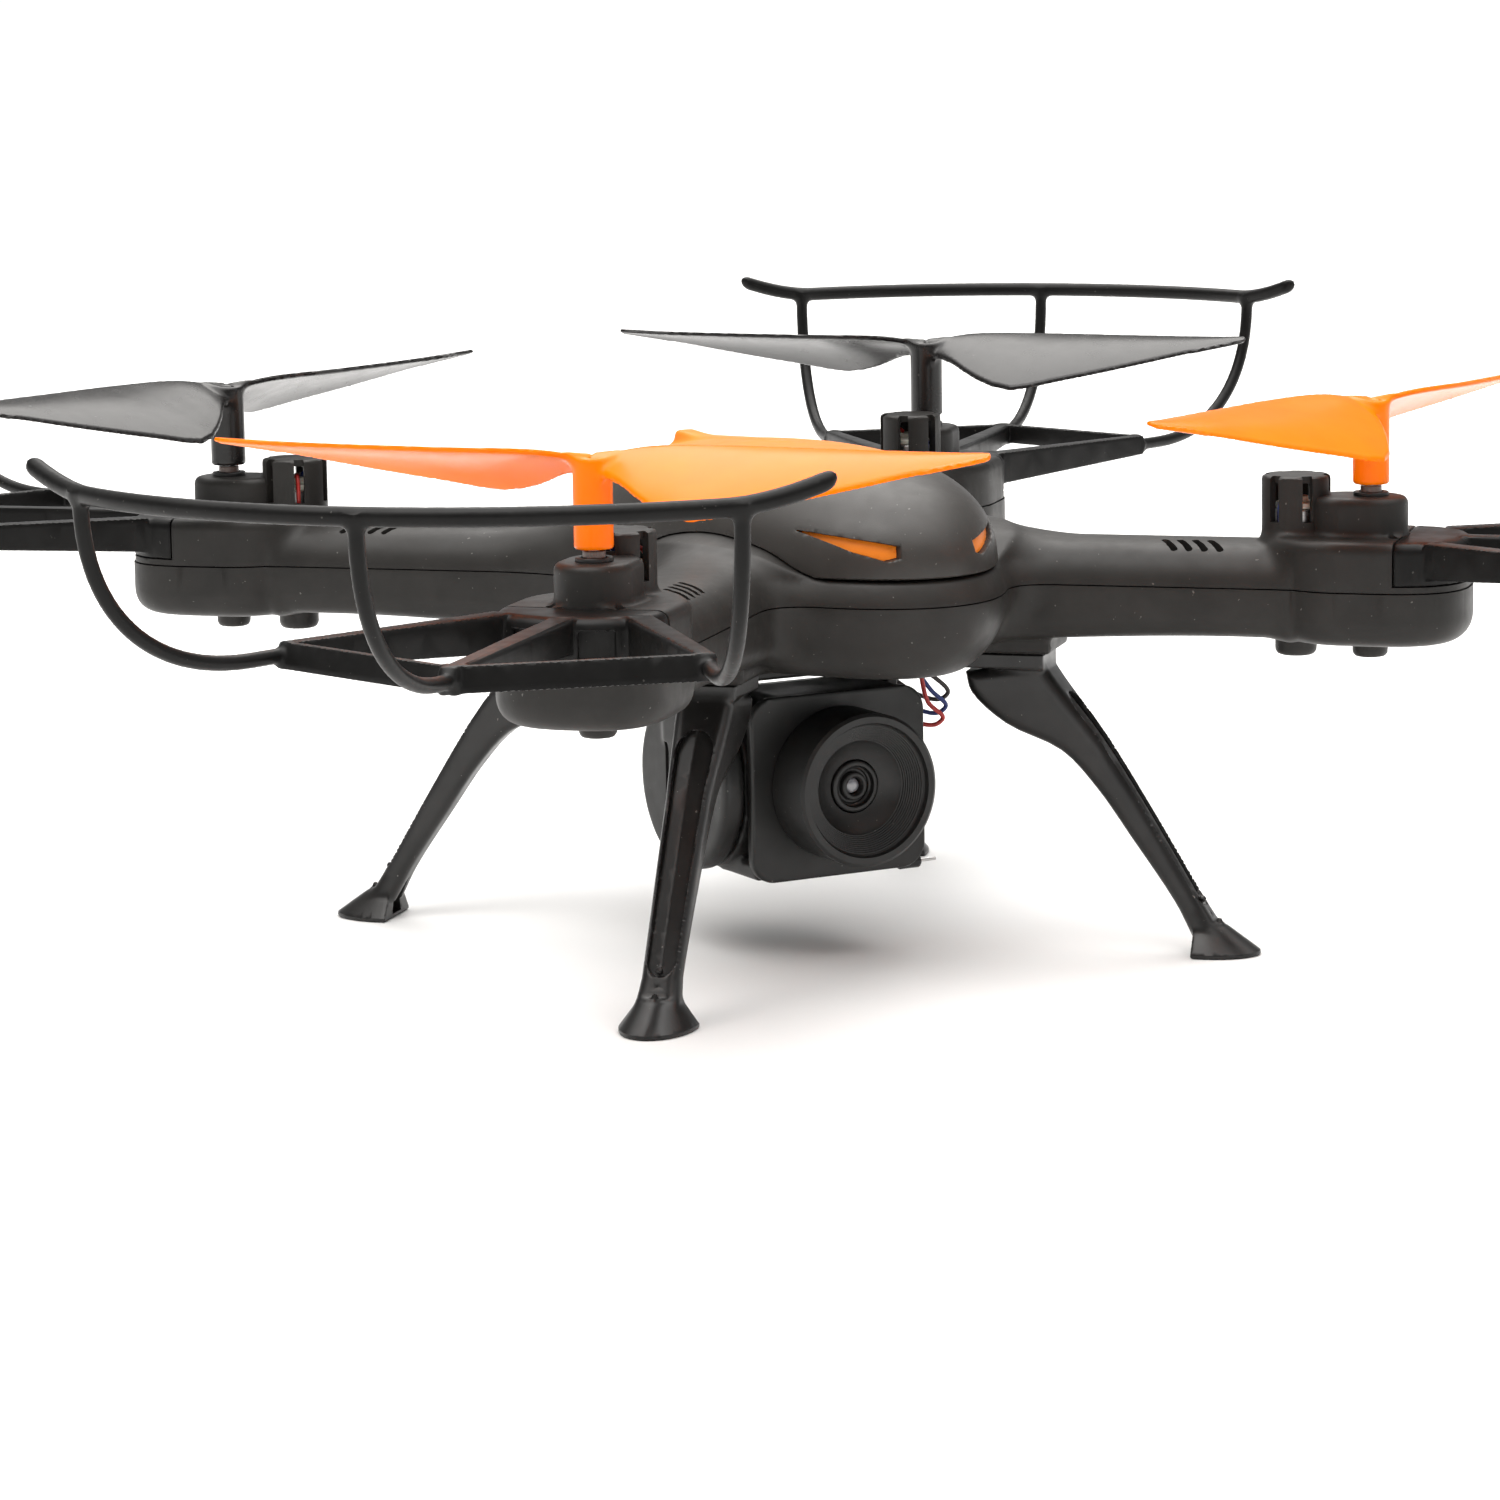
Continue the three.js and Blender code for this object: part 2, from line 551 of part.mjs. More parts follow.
// A gear with pointed teeth; a tooth points along +X, or a gap does if offset is half a tooth.
function gearWheel({ teeth, tipRadius, rootRadius, bottomZ, topZ }, offset) {
  const outline = range(teeth * 2).map((i) => {
    const angle = (Math.PI * (i + 2 * offset)) / teeth;
    const radius = i % 2 === 0 ? tipRadius : rootRadius;
    return [radius * Math.cos(angle), radius * Math.sin(angle)];
  });
  return prism(outline, bottomZ, topZ);
}

function makeMainGear() {
  const hub = cylinder(3, 64.6, 70.6, 8);
  return cut(join(gearWheel(GEAR, 0), hub), cylinder(SHAFT_BORE, 60, 75, 8));
}

function makePinion() {
  return join(gearWheel(PINION, 0.5), cylinder(MOTOR.shaftRadius, 63.4, 82, 8));
}

function makeMotor() {
  return revolve([
    [0.8, MOTOR.bottomZ], [MOTOR.radius, MOTOR.bottomZ], [MOTOR.radius, 88.6],
    [3.2, MOTOR.topZ], [0, MOTOR.topZ], [0, 83], [0.8, 83], [0.8, MOTOR.bottomZ],
  ], 14);
}

// ---------------------------------------------------------------- guard and leg
const STEM_SQUARENESS = 2.3;
const STEM_RADIUS = 1.25;
const BAR_RADIUS = 1.5;
const BRACE = { width: 3, bottom: 77, top: 80.7 };

// A level bar of the guard's frame, with a rectangular section, between two [x, y] points.
function brace([x0, y0], [x1, y1]) {
  const length = Math.hypot(x1 - x0, y1 - y0);
  const heading = THREE.MathUtils.radToDeg(Math.atan2(y1 - y0, x1 - x0));
  return box(0, length, -BRACE.width / 2, BRACE.width / 2, BRACE.bottom, BRACE.top)
    .rotate([0, 0, heading])
    .translate([x0, y0, 0]);
}

// Points down a stem: straight down from the bar, then round to level, all in one upright plane.
function stemPoints([x0, y0], [x1, y1], inward) {
  const drop = GUARD.barZ - GUARD.frameZ;
  const curve = range(8).map((i) => {
    const angle = (Math.PI / 2) * (i / 7);
    const along = 1 - Math.cos(angle) ** (2 / STEM_SQUARENESS);
    const down = Math.sin(angle) ** (2 / STEM_SQUARENESS);
    return [x0 + (x1 - x0) * along, y0 + (y1 - y0) * along, GUARD.barZ - drop * down];
  });
  return [...curve, [...inward, GUARD.frameZ]];
}

function makeGuard() {
  const curlStart = 40;
  const curlTurn = 1.8;
  const arc = range(13).map((i) => {
    const angle = -GUARD.halfArc + (2 * GUARD.halfArc * i) / 12;
    const curl = Math.max(0, (Math.abs(angle) - curlStart) / (GUARD.halfArc - curlStart));
    const radius = GUARD.radius + 3 * curl ** curlTurn;
    return [
      GUARD.centreReach + radius * Math.cos(radians(angle)),
      radius * Math.sin(radians(angle)),
      GUARD.barZ + 3.7 * curl ** curlTurn,
    ];
  });
  const side = (sign) => {
    const foot = [166.6, 35.9 * sign];
    return join(
      bar(stemPoints([204.8, 53.3 * sign], [172, 38.4 * sign], foot), STEM_RADIUS, 8, 6),
      brace(foot, [127.5, 12 * sign]),
      brace(foot, [186.8, 0]),
      cylinder(BRACE.width / 2, BRACE.bottom, BRACE.top, 6).translate([...foot, 0]),
    );
  };
  const middle = join(
    bar(stemPoints([225.2, 0], [186, 0], [183, 0]), STEM_RADIUS, 8, 6),
    brace([188, 0], [131.5, 0]),
  );
  const saddle = saddleSpace(0).intersect(podBlock(0, 50, POD.topZ));
  const bossClearance = cylinder(BOSS.radius + GAP, 60, 100, 14).translate([SHAFT_REACH, 0, 0]);
  const core = podBlock(SADDLE.thickness, 50, POD.topZ - SADDLE.thickness);
  const whole = join(bar(arc, BAR_RADIUS, 14, 6), side(1), side(-1), middle);
  return cut(join(cut(whole, core), saddle), bossClearance);
}

function makeLeg() {
  // Stations down the leg: inner edge, outer edge, half width and the height of each edge.
  const stations = [
    { inner: [37.3, 53.6], outer: [52.6, 55.8], half: 5.4 },
    { inner: [38.4, 49.6], outer: [56, 50.9], half: 5.2 },
    { inner: [45, 43.6], outer: [62.7, 42.4], half: 4.6 },
    { inner: [55.8, 38.6], outer: [66, 37.6], half: 4.2 },
    { inner: [62.6, 31.5], outer: [72.2, 27.8], half: 4 },
    { inner: [69.3, 22], outer: [78.2, 17.8], half: 3.8 },
    { inner: [77.4, 10.2], outer: [84.4, 7.4], half: 3.7 },
    { inner: [81, 3.6], outer: [87, 3.6], half: 4.2 },
  ];
  const rings = stations.map(({ inner, outer, half }) => {
    const mid = [(inner[0] + outer[0]) / 2, (inner[1] + outer[1]) / 2];
    const section = [[inner, 0.7], [mid, 1], [outer, 0.6], [outer, -0.6], [mid, -1], [inner, -0.7]];
    return section.map(([[x, z], share]) => new THREE.Vector3(x, half * share, z));
  });
  const stem = solid(loft(rings));
  const flange = box(37, 53, -6, 6, 54.6, LEG_TOP_Z);
  const shoulder = solid(loft(
    [[37.2, 52.8, 5.4, 53.2], [37, 53, 6, 55]].map(([x0, x1, half, z]) => [
      [x0, half], [x1, half], [x1, -half], [x0, -half],
    ].map(([x, y]) => new THREE.Vector3(x, y, z)))));
  const foot = solid(loft([
    { x0: 81.5, x1: 93.8, half: 7.1, z: 0 },
    { x0: 81.5, x1: 93.6, half: 7, z: 0.9 },
    { x0: 81.2, x1: 88.6, half: 4.6, z: 3.2 },
    { x0: 80.6, x1: 86.4, half: 3.6, z: 5.4 },
  ].map(({ x0, x1, half, z }) => {
    const arc = range(7).map((i) => {
      const angle = radians(-90 + 30 * i);
      return new THREE.Vector3(x0 + 1.5 + (x1 - x0 - 1.5) * Math.cos(angle), half * Math.sin(angle), z);
    });
    return [...arc, new THREE.Vector3(x0, half, z), new THREE.Vector3(x0, -half, z)];
  })));
  return join(stem, shoulder, flange, foot);
}

// ---------------------------------------------------------------- put it together
addPiece('upper_shell', makeUpperShell(), MATERIALS.shell);
addPiece('lower_shell', makeLowerShell(), MATERIALS.shell);
addPiece('canopy', makeCanopy(), MATERIALS.canopy);
addPiece('canopy_insert', makeCanopyInsert(), MATERIALS.amber);
addPiece('circuit_board', makeCircuitBoard(), MATERIALS.board);
addPiece('battery', box(-12, 12, 11.9, 44.2, 59.9, 68.9), MATERIALS.cell);
addPiece('battery_hatch', makeHatch(), MATERIALS.shell);
addPiece('power_switch', makePowerSwitch(), MATERIALS.black);
addPiece('camera_bracket', makeCameraBracket(), MATERIALS.camera);
addPiece('camera_housing', makeCameraHousing(), MATERIALS.camera);
addPiece('camera_plate', makeCameraPlate(), MATERIALS.camera);
addPiece('lens_barrel', makeLensBarrel(), MATERIALS.camera);
addPiece('lens_cell', makeLensCell(), MATERIALS.camera);
addPiece('lens_glass', onLensAxis([[0, 2], [1.4, 2], [1.4, 4.8], [0.8, 5.3], [0, 5.4]], 10), MATERIALS.glass);
addPiece('camera_pivot_left', crossCylinder(PIVOT_RADIUS, -22.3, -17.3, 10), MATERIALS.steel);
addPiece('camera_pivot_right', crossCylinder(PIVOT_RADIUS, 14.9, 19.6, 10), MATERIALS.steel);
const pin = crossCylinder(CAMERA_PIN.radius, 19.9, 23.4, 8, CAMERA_PIN.y, CAMERA_PIN.z);
addPiece('camera_pin', pin, MATERIALS.steel);

const WIRES = [
  { name: 'red', exitY: -12.5, reach: 27.8, low: 40.8 },
  { name: 'blue', exitY: -10, reach: 30, low: 42.6 },
  { name: 'wireBlack', exitY: -7.5, reach: 32, low: 44.8 },
];
for (const wire of WIRES) {
  const colour = wire.name === 'wireBlack' ? 'black' : wire.name;
  addPiece(`camera_wire_${colour}`, bar(wireRoute(wire.exitY, wire.reach, wire.low), 0.45, 22, 6),
    MATERIALS[wire.name]);
}

ARMS.forEach((arm, index) => {
  const group = armGroups[index];
  const rotor = new THREE.Group();
  rotor.position.x = SHAFT_REACH;
  group.add(rotor);
  const motorMount = new THREE.Group();
  motorMount.position.x = MOTOR_REACH;
  group.add(motorMount);

  const propeller = addPiece(
    `propeller_${arm.name}`, makePropeller(arm.spin), MATERIALS[arm.propeller], rotor);
  propeller.rotation.z = radians(arm.bladeHeading - arm.heading);
  addPiece(`prop_shaft_${arm.name}`, cylinder(SHAFT_RADIUS, 59.2, 104.2, 10), MATERIALS.steel, rotor);
  addPiece(`main_gear_${arm.name}`, makeMainGear(), MATERIALS.nylon, rotor);
  addPiece(`shaft_bushing_${arm.name}`, revolve([
    [SHAFT_BORE, 81.5], [BUSHING_RADIUS, 81.5], [BUSHING_RADIUS, 90.3],
    [SHAFT_BORE, 90.3], [SHAFT_BORE, 81.5],
  ], 10), MATERIALS.nylon, rotor);
  addPiece(`shaft_collar_${arm.name}`, revolve([
    [COLLAR_BORE, 88.2], [3.3, 88.2], [3.3, 89.2], [COLLAR_BORE, 89.2], [COLLAR_BORE, 88.2],
  ], 12), MATERIALS.black, rotor);
  addPiece(`motor_${arm.name}`, makeMotor(), MATERIALS.steel, motorMount);
  addPiece(`pinion_${arm.name}`, makePinion(), MATERIALS.brass, motorMount);
  addPiece(`guard_${arm.name}`, makeGuard(), MATERIALS.guard, group);
  addPiece(`landing_leg_${arm.name}`, makeLeg(), MATERIALS.leg, group);
});

export default drone;
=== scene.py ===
"""The looks of a toy camera quadcopter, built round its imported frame.

Hard shapes are written as fields, in millimetres: a function of x, y and z that is negative inside
the piece. contour() turns a field into a mesh with one vertex in each grid cell that the surface
crosses, set where the surface's faces meet, so that moulded edges stay crisp.
"""

import json
import math
from functools import reduce

import bpy
import numpy as np
from mathutils import Matrix, Vector


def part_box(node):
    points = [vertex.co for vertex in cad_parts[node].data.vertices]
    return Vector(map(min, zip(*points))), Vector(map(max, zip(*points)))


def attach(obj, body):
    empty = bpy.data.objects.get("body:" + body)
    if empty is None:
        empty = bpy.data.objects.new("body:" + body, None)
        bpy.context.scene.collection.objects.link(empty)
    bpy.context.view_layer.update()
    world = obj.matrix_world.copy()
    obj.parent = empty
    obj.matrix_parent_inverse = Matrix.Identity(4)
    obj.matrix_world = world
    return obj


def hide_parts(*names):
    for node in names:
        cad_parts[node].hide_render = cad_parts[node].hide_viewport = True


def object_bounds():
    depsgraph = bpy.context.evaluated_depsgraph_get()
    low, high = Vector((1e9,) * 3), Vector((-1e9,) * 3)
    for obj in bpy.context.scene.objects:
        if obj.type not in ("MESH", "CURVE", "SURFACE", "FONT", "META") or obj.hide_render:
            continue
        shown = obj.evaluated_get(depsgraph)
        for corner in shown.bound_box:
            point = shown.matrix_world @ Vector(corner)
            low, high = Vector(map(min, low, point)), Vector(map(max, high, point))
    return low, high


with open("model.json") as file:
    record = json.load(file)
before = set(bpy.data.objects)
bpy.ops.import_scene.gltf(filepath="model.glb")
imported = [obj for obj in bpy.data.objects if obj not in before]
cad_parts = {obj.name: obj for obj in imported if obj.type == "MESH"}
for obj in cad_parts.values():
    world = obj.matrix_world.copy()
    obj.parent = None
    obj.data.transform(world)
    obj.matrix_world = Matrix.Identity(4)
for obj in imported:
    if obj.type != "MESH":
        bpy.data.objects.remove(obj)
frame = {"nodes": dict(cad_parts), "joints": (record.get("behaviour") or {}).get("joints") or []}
cad_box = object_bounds()

# -------- places read from the frame
MM = 0.001
ARMS = {"front_left": -135, "front_right": -45, "rear_left": 135, "rear_right": 45}


def span(node):
    """A CAD node's lowest and highest corners, in millimetres."""
    low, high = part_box(node)
    return np.array(low) / MM, np.array(high) / MM


def middle(node):
    low, high = span(node)
    return (low + high) / 2


SHAFT = float(np.hypot(*middle("prop_shaft_rear_right")[:2]))
MOTOR = float(np.hypot(*middle("motor_rear_right")[:2]))
SEAM_Z = float(span("lower_shell")[1][2] + span("upper_shell")[0][2]) / 2
RIM_Z = float(span("canopy")[0][2])
BELLY_Z = float(span("battery_hatch")[0][2])
TOWER_TOP = float(span("upper_shell")[1][2])
SHAFT_TOP = span("prop_shaft_rear_right")[1][2]
HUB_LOW, HUB_TOP = SHAFT_TOP - 13.6, SHAFT_TOP + 3.4
TILT_JOINT = next(joint for joint in frame["joints"] if joint["name"] == "camera_tilt")
CAMERA_Y, CAMERA_Z = (value / MM for value in TILT_JOINT["pos_m"][1:])

GAP = 0.3  # between two pieces that meet
SEAM_GAP = 0.12  # from the seam to each shell's edge
WALL = 1.6  # of the shells
ARM_SLOPE = math.sqrt(0.5)  # the arms lie on the diagonals

# -------- fields


def smooth_min(a, b, k):
    h = np.clip(0.5 + 0.5 * (b - a) / k, 0, 1)
    return b + (a - b) * h - k * h * (1 - h)


def smooth_max(a, b, k):
    return -smooth_min(-a, -b, k)


def common(*shapes):
    """What all the shapes share."""
    return reduce(np.maximum, shapes)


def joined(*shapes):
    return reduce(np.minimum, shapes)


def without(shape, *holes):
    return reduce(np.maximum, [-hole for hole in holes], shape)


def fade(value, start, end):
    """0 at start, 1 at end, with no corner at either."""
    t = np.clip((value - start) / (end - start), 0, 1)
    return t * t * (3 - 2 * t)


def rounded_box(x, y, z, half_x, half_y, half_z, radius):
    qx, qy, qz = (np.abs(v) - half + radius for v, half in ((x, half_x), (y, half_y), (z, half_z)))
    outside = np.sqrt(np.maximum(qx, 0) ** 2 + np.maximum(qy, 0) ** 2 + np.maximum(qz, 0) ** 2)
    return outside + np.minimum(common(qx, qy, qz), 0) - radius


def drum(x, y, z, radius, low, high, rounding):
    """A cylinder about z with rounded edges."""
    side = np.sqrt(x * x + y * y) - radius
    return smooth_max(smooth_max(side, z - high, rounding), low - z, rounding)


def ellipse(x, y, half_x, half_y):
    """Close to the distance from an ellipse about z."""
    near = np.sqrt((x / half_x) ** 2 + (y / half_y) ** 2)
    slope = np.sqrt((x / half_x**2) ** 2 + (y / half_y**2) ** 2)
    return near * (near - 1) / np.maximum(slope, 1e-6)


def line_distance(x, y, points):
    """Distance to a line through points in a plane."""
    nearest = 1e9
    for (ax, ay), (bx, by) in zip(points, points[1:]):
        ex, ey = bx - ax, by - ay
        wx, wy = x - ax, y - ay
        share = np.clip((wx * ex + wy * ey) / (ex * ex + ey * ey), 0, 1)
        nearest = np.minimum(nearest, (wx - ex * share) ** 2 + (wy - ey * share) ** 2)
    return np.sqrt(nearest)


def polygon(x, y, outline):
    """Signed distance to a closed outline in a plane."""
    closed = outline + outline[:1]
    sign = np.ones(np.broadcast(x, y).shape)
    for (ax, ay), (bx, by) in zip(closed, closed[1:]):
        above, below = y >= ay, y < by
        left = (bx - ax) * (y - ay) > (by - ay) * (x - ax)
        sign = np.where((above & below & left) | ~(above | below | left), -sign, sign)
    return sign * line_distance(x, y, closed)


def as_distance(shape):
    """Divides a field by its own steepness, so that its values are close to true distances."""

    def scaled(x, y, z):
        step = 0.05
        here = shape(x, y, z)
        slopes = [shape(x + step, y, z) - here, shape(x, y + step, z) - here, shape(x, y, z + step) - here]
        return here / np.maximum(np.sqrt(sum(s * s for s in slopes)) / step, 0.05)

    return scaled


# -------- meshing a field
CLOSING_STEPS = 3  # how often a crossing's place on its edge is bettered
CORNER_PULL = 0.03  # how weakly a cell's vertex is drawn to the middle of its crossings


def slab(values, axis, part):
    return values[tuple(part if i == axis else slice(None) for i in range(3))]


def crossings(field, axes, values):
    """Where grid edges cross the surface: edge index, axis, point, outward normal and direction."""
    origin = np.array([line[0] for line in axes])
    cell = axes[0][1] - axes[0][0]
    found = []
    for axis in range(3):
        lower, upper = slab(values, axis, slice(0, -1)), slab(values, axis, slice(1, None))
        index = np.argwhere((lower < 0) != (upper < 0))
        if not len(index):
            continue
        place = tuple(index.T)
        value_a, value_b = lower[place], upper[place]
        t_a, t_b = np.zeros(len(index)), np.ones(len(index))
        along = np.eye(3)[axis]
        for _ in range(CLOSING_STEPS):
            t = t_a + (t_b - t_a) * np.clip(value_a / (value_a - value_b), 0.02, 0.98)
            point = origin + cell * (index + t[:, None] * along)
            value = field(*point.T)
            same = (value < 0) == (value_a < 0)
            t_a, value_a = np.where(same, t, t_a), np.where(same, value, value_a)
            t_b, value_b = np.where(same, t_b, t), np.where(same, value_b, value)
        found.append((index, np.full(len(index), axis), point, lower[place] < 0))
    return [np.concatenate(group) for group in zip(*found)]


def contour(field, low, high, cell):
    """Vertices and quads of the surface where field is zero, inside a box that holds it all."""
    axes = [np.arange(a - 1.5 * cell, b + 2.5 * cell, cell) for a, b in zip(low, high)]
    values = np.broadcast_to(field(*np.meshgrid(*axes, indexing="ij", sparse=True)), [len(a) for a in axes])
    index, axis, point, outward = crossings(field, axes, values)
    nudge = 0.01 * np.eye(3)
    normal = np.stack([field(*(point + n).T) - field(*(point - n).T) for n in nudge], 1)
    normal /= np.maximum(np.linalg.norm(normal, axis=1, keepdims=True), 1e-12)
    across, up = np.eye(3, dtype=int)[(axis + 1) % 3], np.eye(3, dtype=int)[(axis + 2) % 3]
    ring = np.stack([index, index - across, index - across - up, index - up], 1)
    ring[~outward] = ring[~outward][:, ::-1]
    flat = np.ravel_multi_index(ring.reshape(-1, 3).T, values.shape)
    cells, where = np.unique(flat, return_inverse=True)
    where = where.ravel()

    def total(weights):
        return np.bincount(where, np.repeat(weights, 4), len(cells))

    count = total(np.ones(len(point)))
    centre = np.stack([total(point[:, i]) for i in range(3)], 1) / count[:, None]
    reach = (normal * point).sum(1)
    matrix = np.stack([[total(normal[:, i] * normal[:, j]) for i in range(3)] for j in range(3)])
    matrix = matrix.transpose(2, 0, 1)
    target = np.stack([total(normal[:, i] * reach) for i in range(3)], 1)
    target -= np.einsum("nij,nj->ni", matrix, centre)
    matrix += CORNER_PULL * count[:, None, None] * np.eye(3)
    vertex = centre + np.linalg.solve(matrix, target[:, :, None])[:, :, 0]
    corner = np.array([line[0] for line in axes]) + cell * np.stack(np.unravel_index(cells, values.shape), 1)
    return np.clip(vertex, corner + 0.02 * cell, corner + 0.98 * cell), where.reshape(-1, 4)


# -------- making pieces
scene = bpy.context.scene


def add_object(name, data):
    thing = bpy.data.objects.new(name, data)
    scene.collection.objects.link(thing)
    return thing


def make_object(name, vertices, faces, keep=1.0, crease=32):
    """A mesh piece from millimetre vertices; keep is the share of faces left after thinning."""
    mesh = bpy.data.meshes.new(name)
    mesh.from_pydata(np.asarray(vertices) * MM, [], np.asarray(faces).tolist() if keep < 1 else list(faces))
    piece = add_object(name, mesh)
    if keep < 1:
        thin = piece.modifiers.new("thin", "DECIMATE")
        thin.ratio = keep
        graph = bpy.context.evaluated_depsgraph_get()
        thinned = bpy.data.meshes.new_from_object(piece.evaluated_get(graph))
        piece.modifiers.clear()
        piece.data = thinned
        bpy.data.meshes.remove(mesh)
        thinned.name = name
    piece.data.shade_smooth()
    piece.data.set_sharp_from_angle(angle=math.radians(crease))
    return piece


def mould(name, field, low, high, cell, keep, crease=32):
    return make_object(name, *contour(field, low, high, cell), keep, crease)


def place(piece, material, slot, body, *nodes):
    """Gives a piece its material, its body and the CAD nodes that it stands for."""
    piece.data.materials.clear()
    piece.data.materials.append(material)
    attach(piece, body)
    if nodes:
        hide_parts(*nodes)
    return piece


def revolve(profile, segments):
    """Vertices and faces of a closed [radius, height] profile turned about z."""
    vertices, rings = [], []
    for radius, height in profile:
        if radius == 0:
            rings.append([len(vertices)] * segments)
            vertices.append((0, 0, height))
            continue
        rings.append([len(vertices) + i for i in range(segments)])
        for i in range(segments):
            angle = 2 * math.pi * i / segments
            vertices.append((radius * math.cos(angle), radius * math.sin(angle), height))
    faces = []
    closed = profile[0][0] != 0
    pairs = list(zip(rings, rings[1:])) + ([(rings[-1], rings[0])] if closed else [])
    for lower, upper in pairs:
        for i in range(segments):
            j = (i + 1) % segments
            face = list(dict.fromkeys([lower[i], lower[j], upper[j], upper[i]]))
            if len(face) > 2:
                faces.append(face)
    return np.array(vertices), faces


def rounded(profile, radius, steps=4):
    """Rounds each corner of an open profile that isn't on the axis."""
    result = [profile[0]]
    for before, here, after in zip(profile, profile[1:], profile[2:]):
        a, b, c = (np.array(p, float) for p in (before, here, after))
        reach = min(radius, np.linalg.norm(a - b) / 2.2, np.linalg.norm(c - b) / 2.2)
        start, end = b + (a - b) / np.linalg.norm(a - b) * reach, b + (c - b) / np.linalg.norm(c - b) * reach
        for i in range(steps + 1):
            t = i / steps
            point = start * (1 - t) ** 2 + b * 2 * t * (1 - t) + end * t * t
            result.append((float(point[0]), float(point[1])))
    return result + [profile[-1]]


def smooth_path(points, steps):
    """A Catmull-Rom line through points, with knots spaced by the root of their distance."""
    p = [np.array(q, float) for q in points]
    p = [2 * p[0] - p[1], *p, 2 * p[-1] - p[-2]]
    line = []
    for a, b, c, d in zip(p, p[1:], p[2:], p[3:]):
        gaps = [max(np.linalg.norm(q - r) ** 0.5, 1e-4) for q, r in ((b, a), (c, b), (d, c))]
        in_b = ((b - a) / gaps[0] - (c - a) / (gaps[0] + gaps[1]) + (c - b) / gaps[1]) * gaps[1]
        in_c = ((c - b) / gaps[1] - (d - b) / (gaps[1] + gaps[2]) + (d - c) / gaps[2]) * gaps[1]
        for i in range(steps):
            t = i / steps
            line.append(
                (2 * t**3 - 3 * t**2 + 1) * b + (t**3 - 2 * t**2 + t) * in_b
                + (3 * t**2 - 2 * t**3) * c + (t**3 - t**2) * in_c
            )
    return [*line, p[-2]]


def tube(name, points, radius, material, slot, body, *nodes):
    """A round flexible lead along a line of points."""
    data = bpy.data.curves.new(name, "CURVE")
    data.dimensions = "3D"
    data.bevel_depth = radius * MM
    data.bevel_resolution = 4
    data.use_fill_caps = True
    spline = data.splines.new("POLY")
    spline.points.add(len(points) - 1)
    for target, point in zip(spline.points, points):
        target.co = (*(np.array(point) * MM), 1)
    spline.use_smooth = True
    return place(add_object(name, data), material, slot, body, *nodes)


# -------- materials


def fill(tree, node, **inputs):
    """Sets a node's inputs: another node's output is linked, and anything else is a value."""
    for name, value in inputs.items():
        socket = node.inputs[name.replace("_", " ")]
        if isinstance(value, bpy.types.NodeSocket):
            tree.links.new(value, socket)
        else:
            socket.default_value = value
    return node


def add_node(tree, kind, **inputs):
    return fill(tree, tree.nodes.new("ShaderNode" + kind), **inputs)


def noise(tree, where, size_mm, detail=3.0, roughness=0.55):
    """A noise texture whose blobs are about size_mm across."""
    node = add_node(
        tree, "TexNoise", Vector=where, Scale=1 / (size_mm * MM), Detail=detail, Roughness=roughness)
    return node.outputs["Fac"]


def spread(tree, value, from_low, from_high, to_low, to_high):
    node = add_node(
        tree, "MapRange", Value=value, From_Min=from_low, From_Max=from_high, To_Min=to_low, To_Max=to_high)
    return node.outputs[0]


def mix_colour(tree, share, first, second):
    """Mixes two colours, or the output of another node with a colour."""
    node = add_node(tree, "Mix", Factor=share)
    node.data_type = "RGBA"
    for socket, colour in ((node.inputs[6], first), (node.inputs[7], second)):
        if isinstance(colour, tuple):
            socket.default_value = (*colour, 1)
        else:
            tree.links.new(colour, socket)
    return node.outputs[2]


def start_material(name, colour, roughness, **inputs):
    material = bpy.data.materials.new(name)
    material.use_nodes = True
    tree = material.node_tree
    shader = tree.nodes["Principled BSDF"]
    fill(tree, shader, Base_Color=(*colour, 1), Roughness=roughness, **inputs)
    return material, tree, shader, add_node(tree, "TexCoord").outputs["Object"]


def bumps(tree, height, strength, depth_mm):
    return add_node(tree, "Bump", Height=height, Strength=strength, Distance=depth_mm * MM).outputs["Normal"]


DUST_COLOUR = (0.42, 0.4, 0.37)


def plastic(name, colour, roughness, grain, mottle, dust=0.0, specular=0.5, **inputs):
    """Moulded plastic: a fine grain, slightly uneven colour and gloss, and specks of dust.

    grain is the bumps' size and depth in millimetres, and mottle how far the colour strays.
    """
    inputs["Specular_IOR_Level"] = specular
    material, tree, shader, where = start_material(name, colour, roughness, **inputs)
    blotches = spread(tree, noise(tree, where, 9, 4), 0.35, 0.7, 0, 1)
    lighter = tuple(min(1, c * (1 + mottle) + 0.002 * mottle) for c in colour)
    darker = tuple(c * (1 - mottle * 0.6) for c in colour)
    base = mix_colour(tree, blotches, darker, lighter)
    smudges = noise(tree, where, 4, 5)
    gloss = spread(tree, smudges, 0.3, 0.75, roughness * 0.88, min(1, roughness * 1.16))
    if dust:
        specks = spread(tree, noise(tree, where, 0.9, 1), 0.765, 0.79, 0, dust)
        base = mix_colour(tree, specks, base, DUST_COLOUR)
    grains = bumps(tree, noise(tree, where, grain[0], 2), 0.35, grain[1])
    fill(tree, shader, Base_Color=base, Roughness=gloss, Normal=grains)
    return material


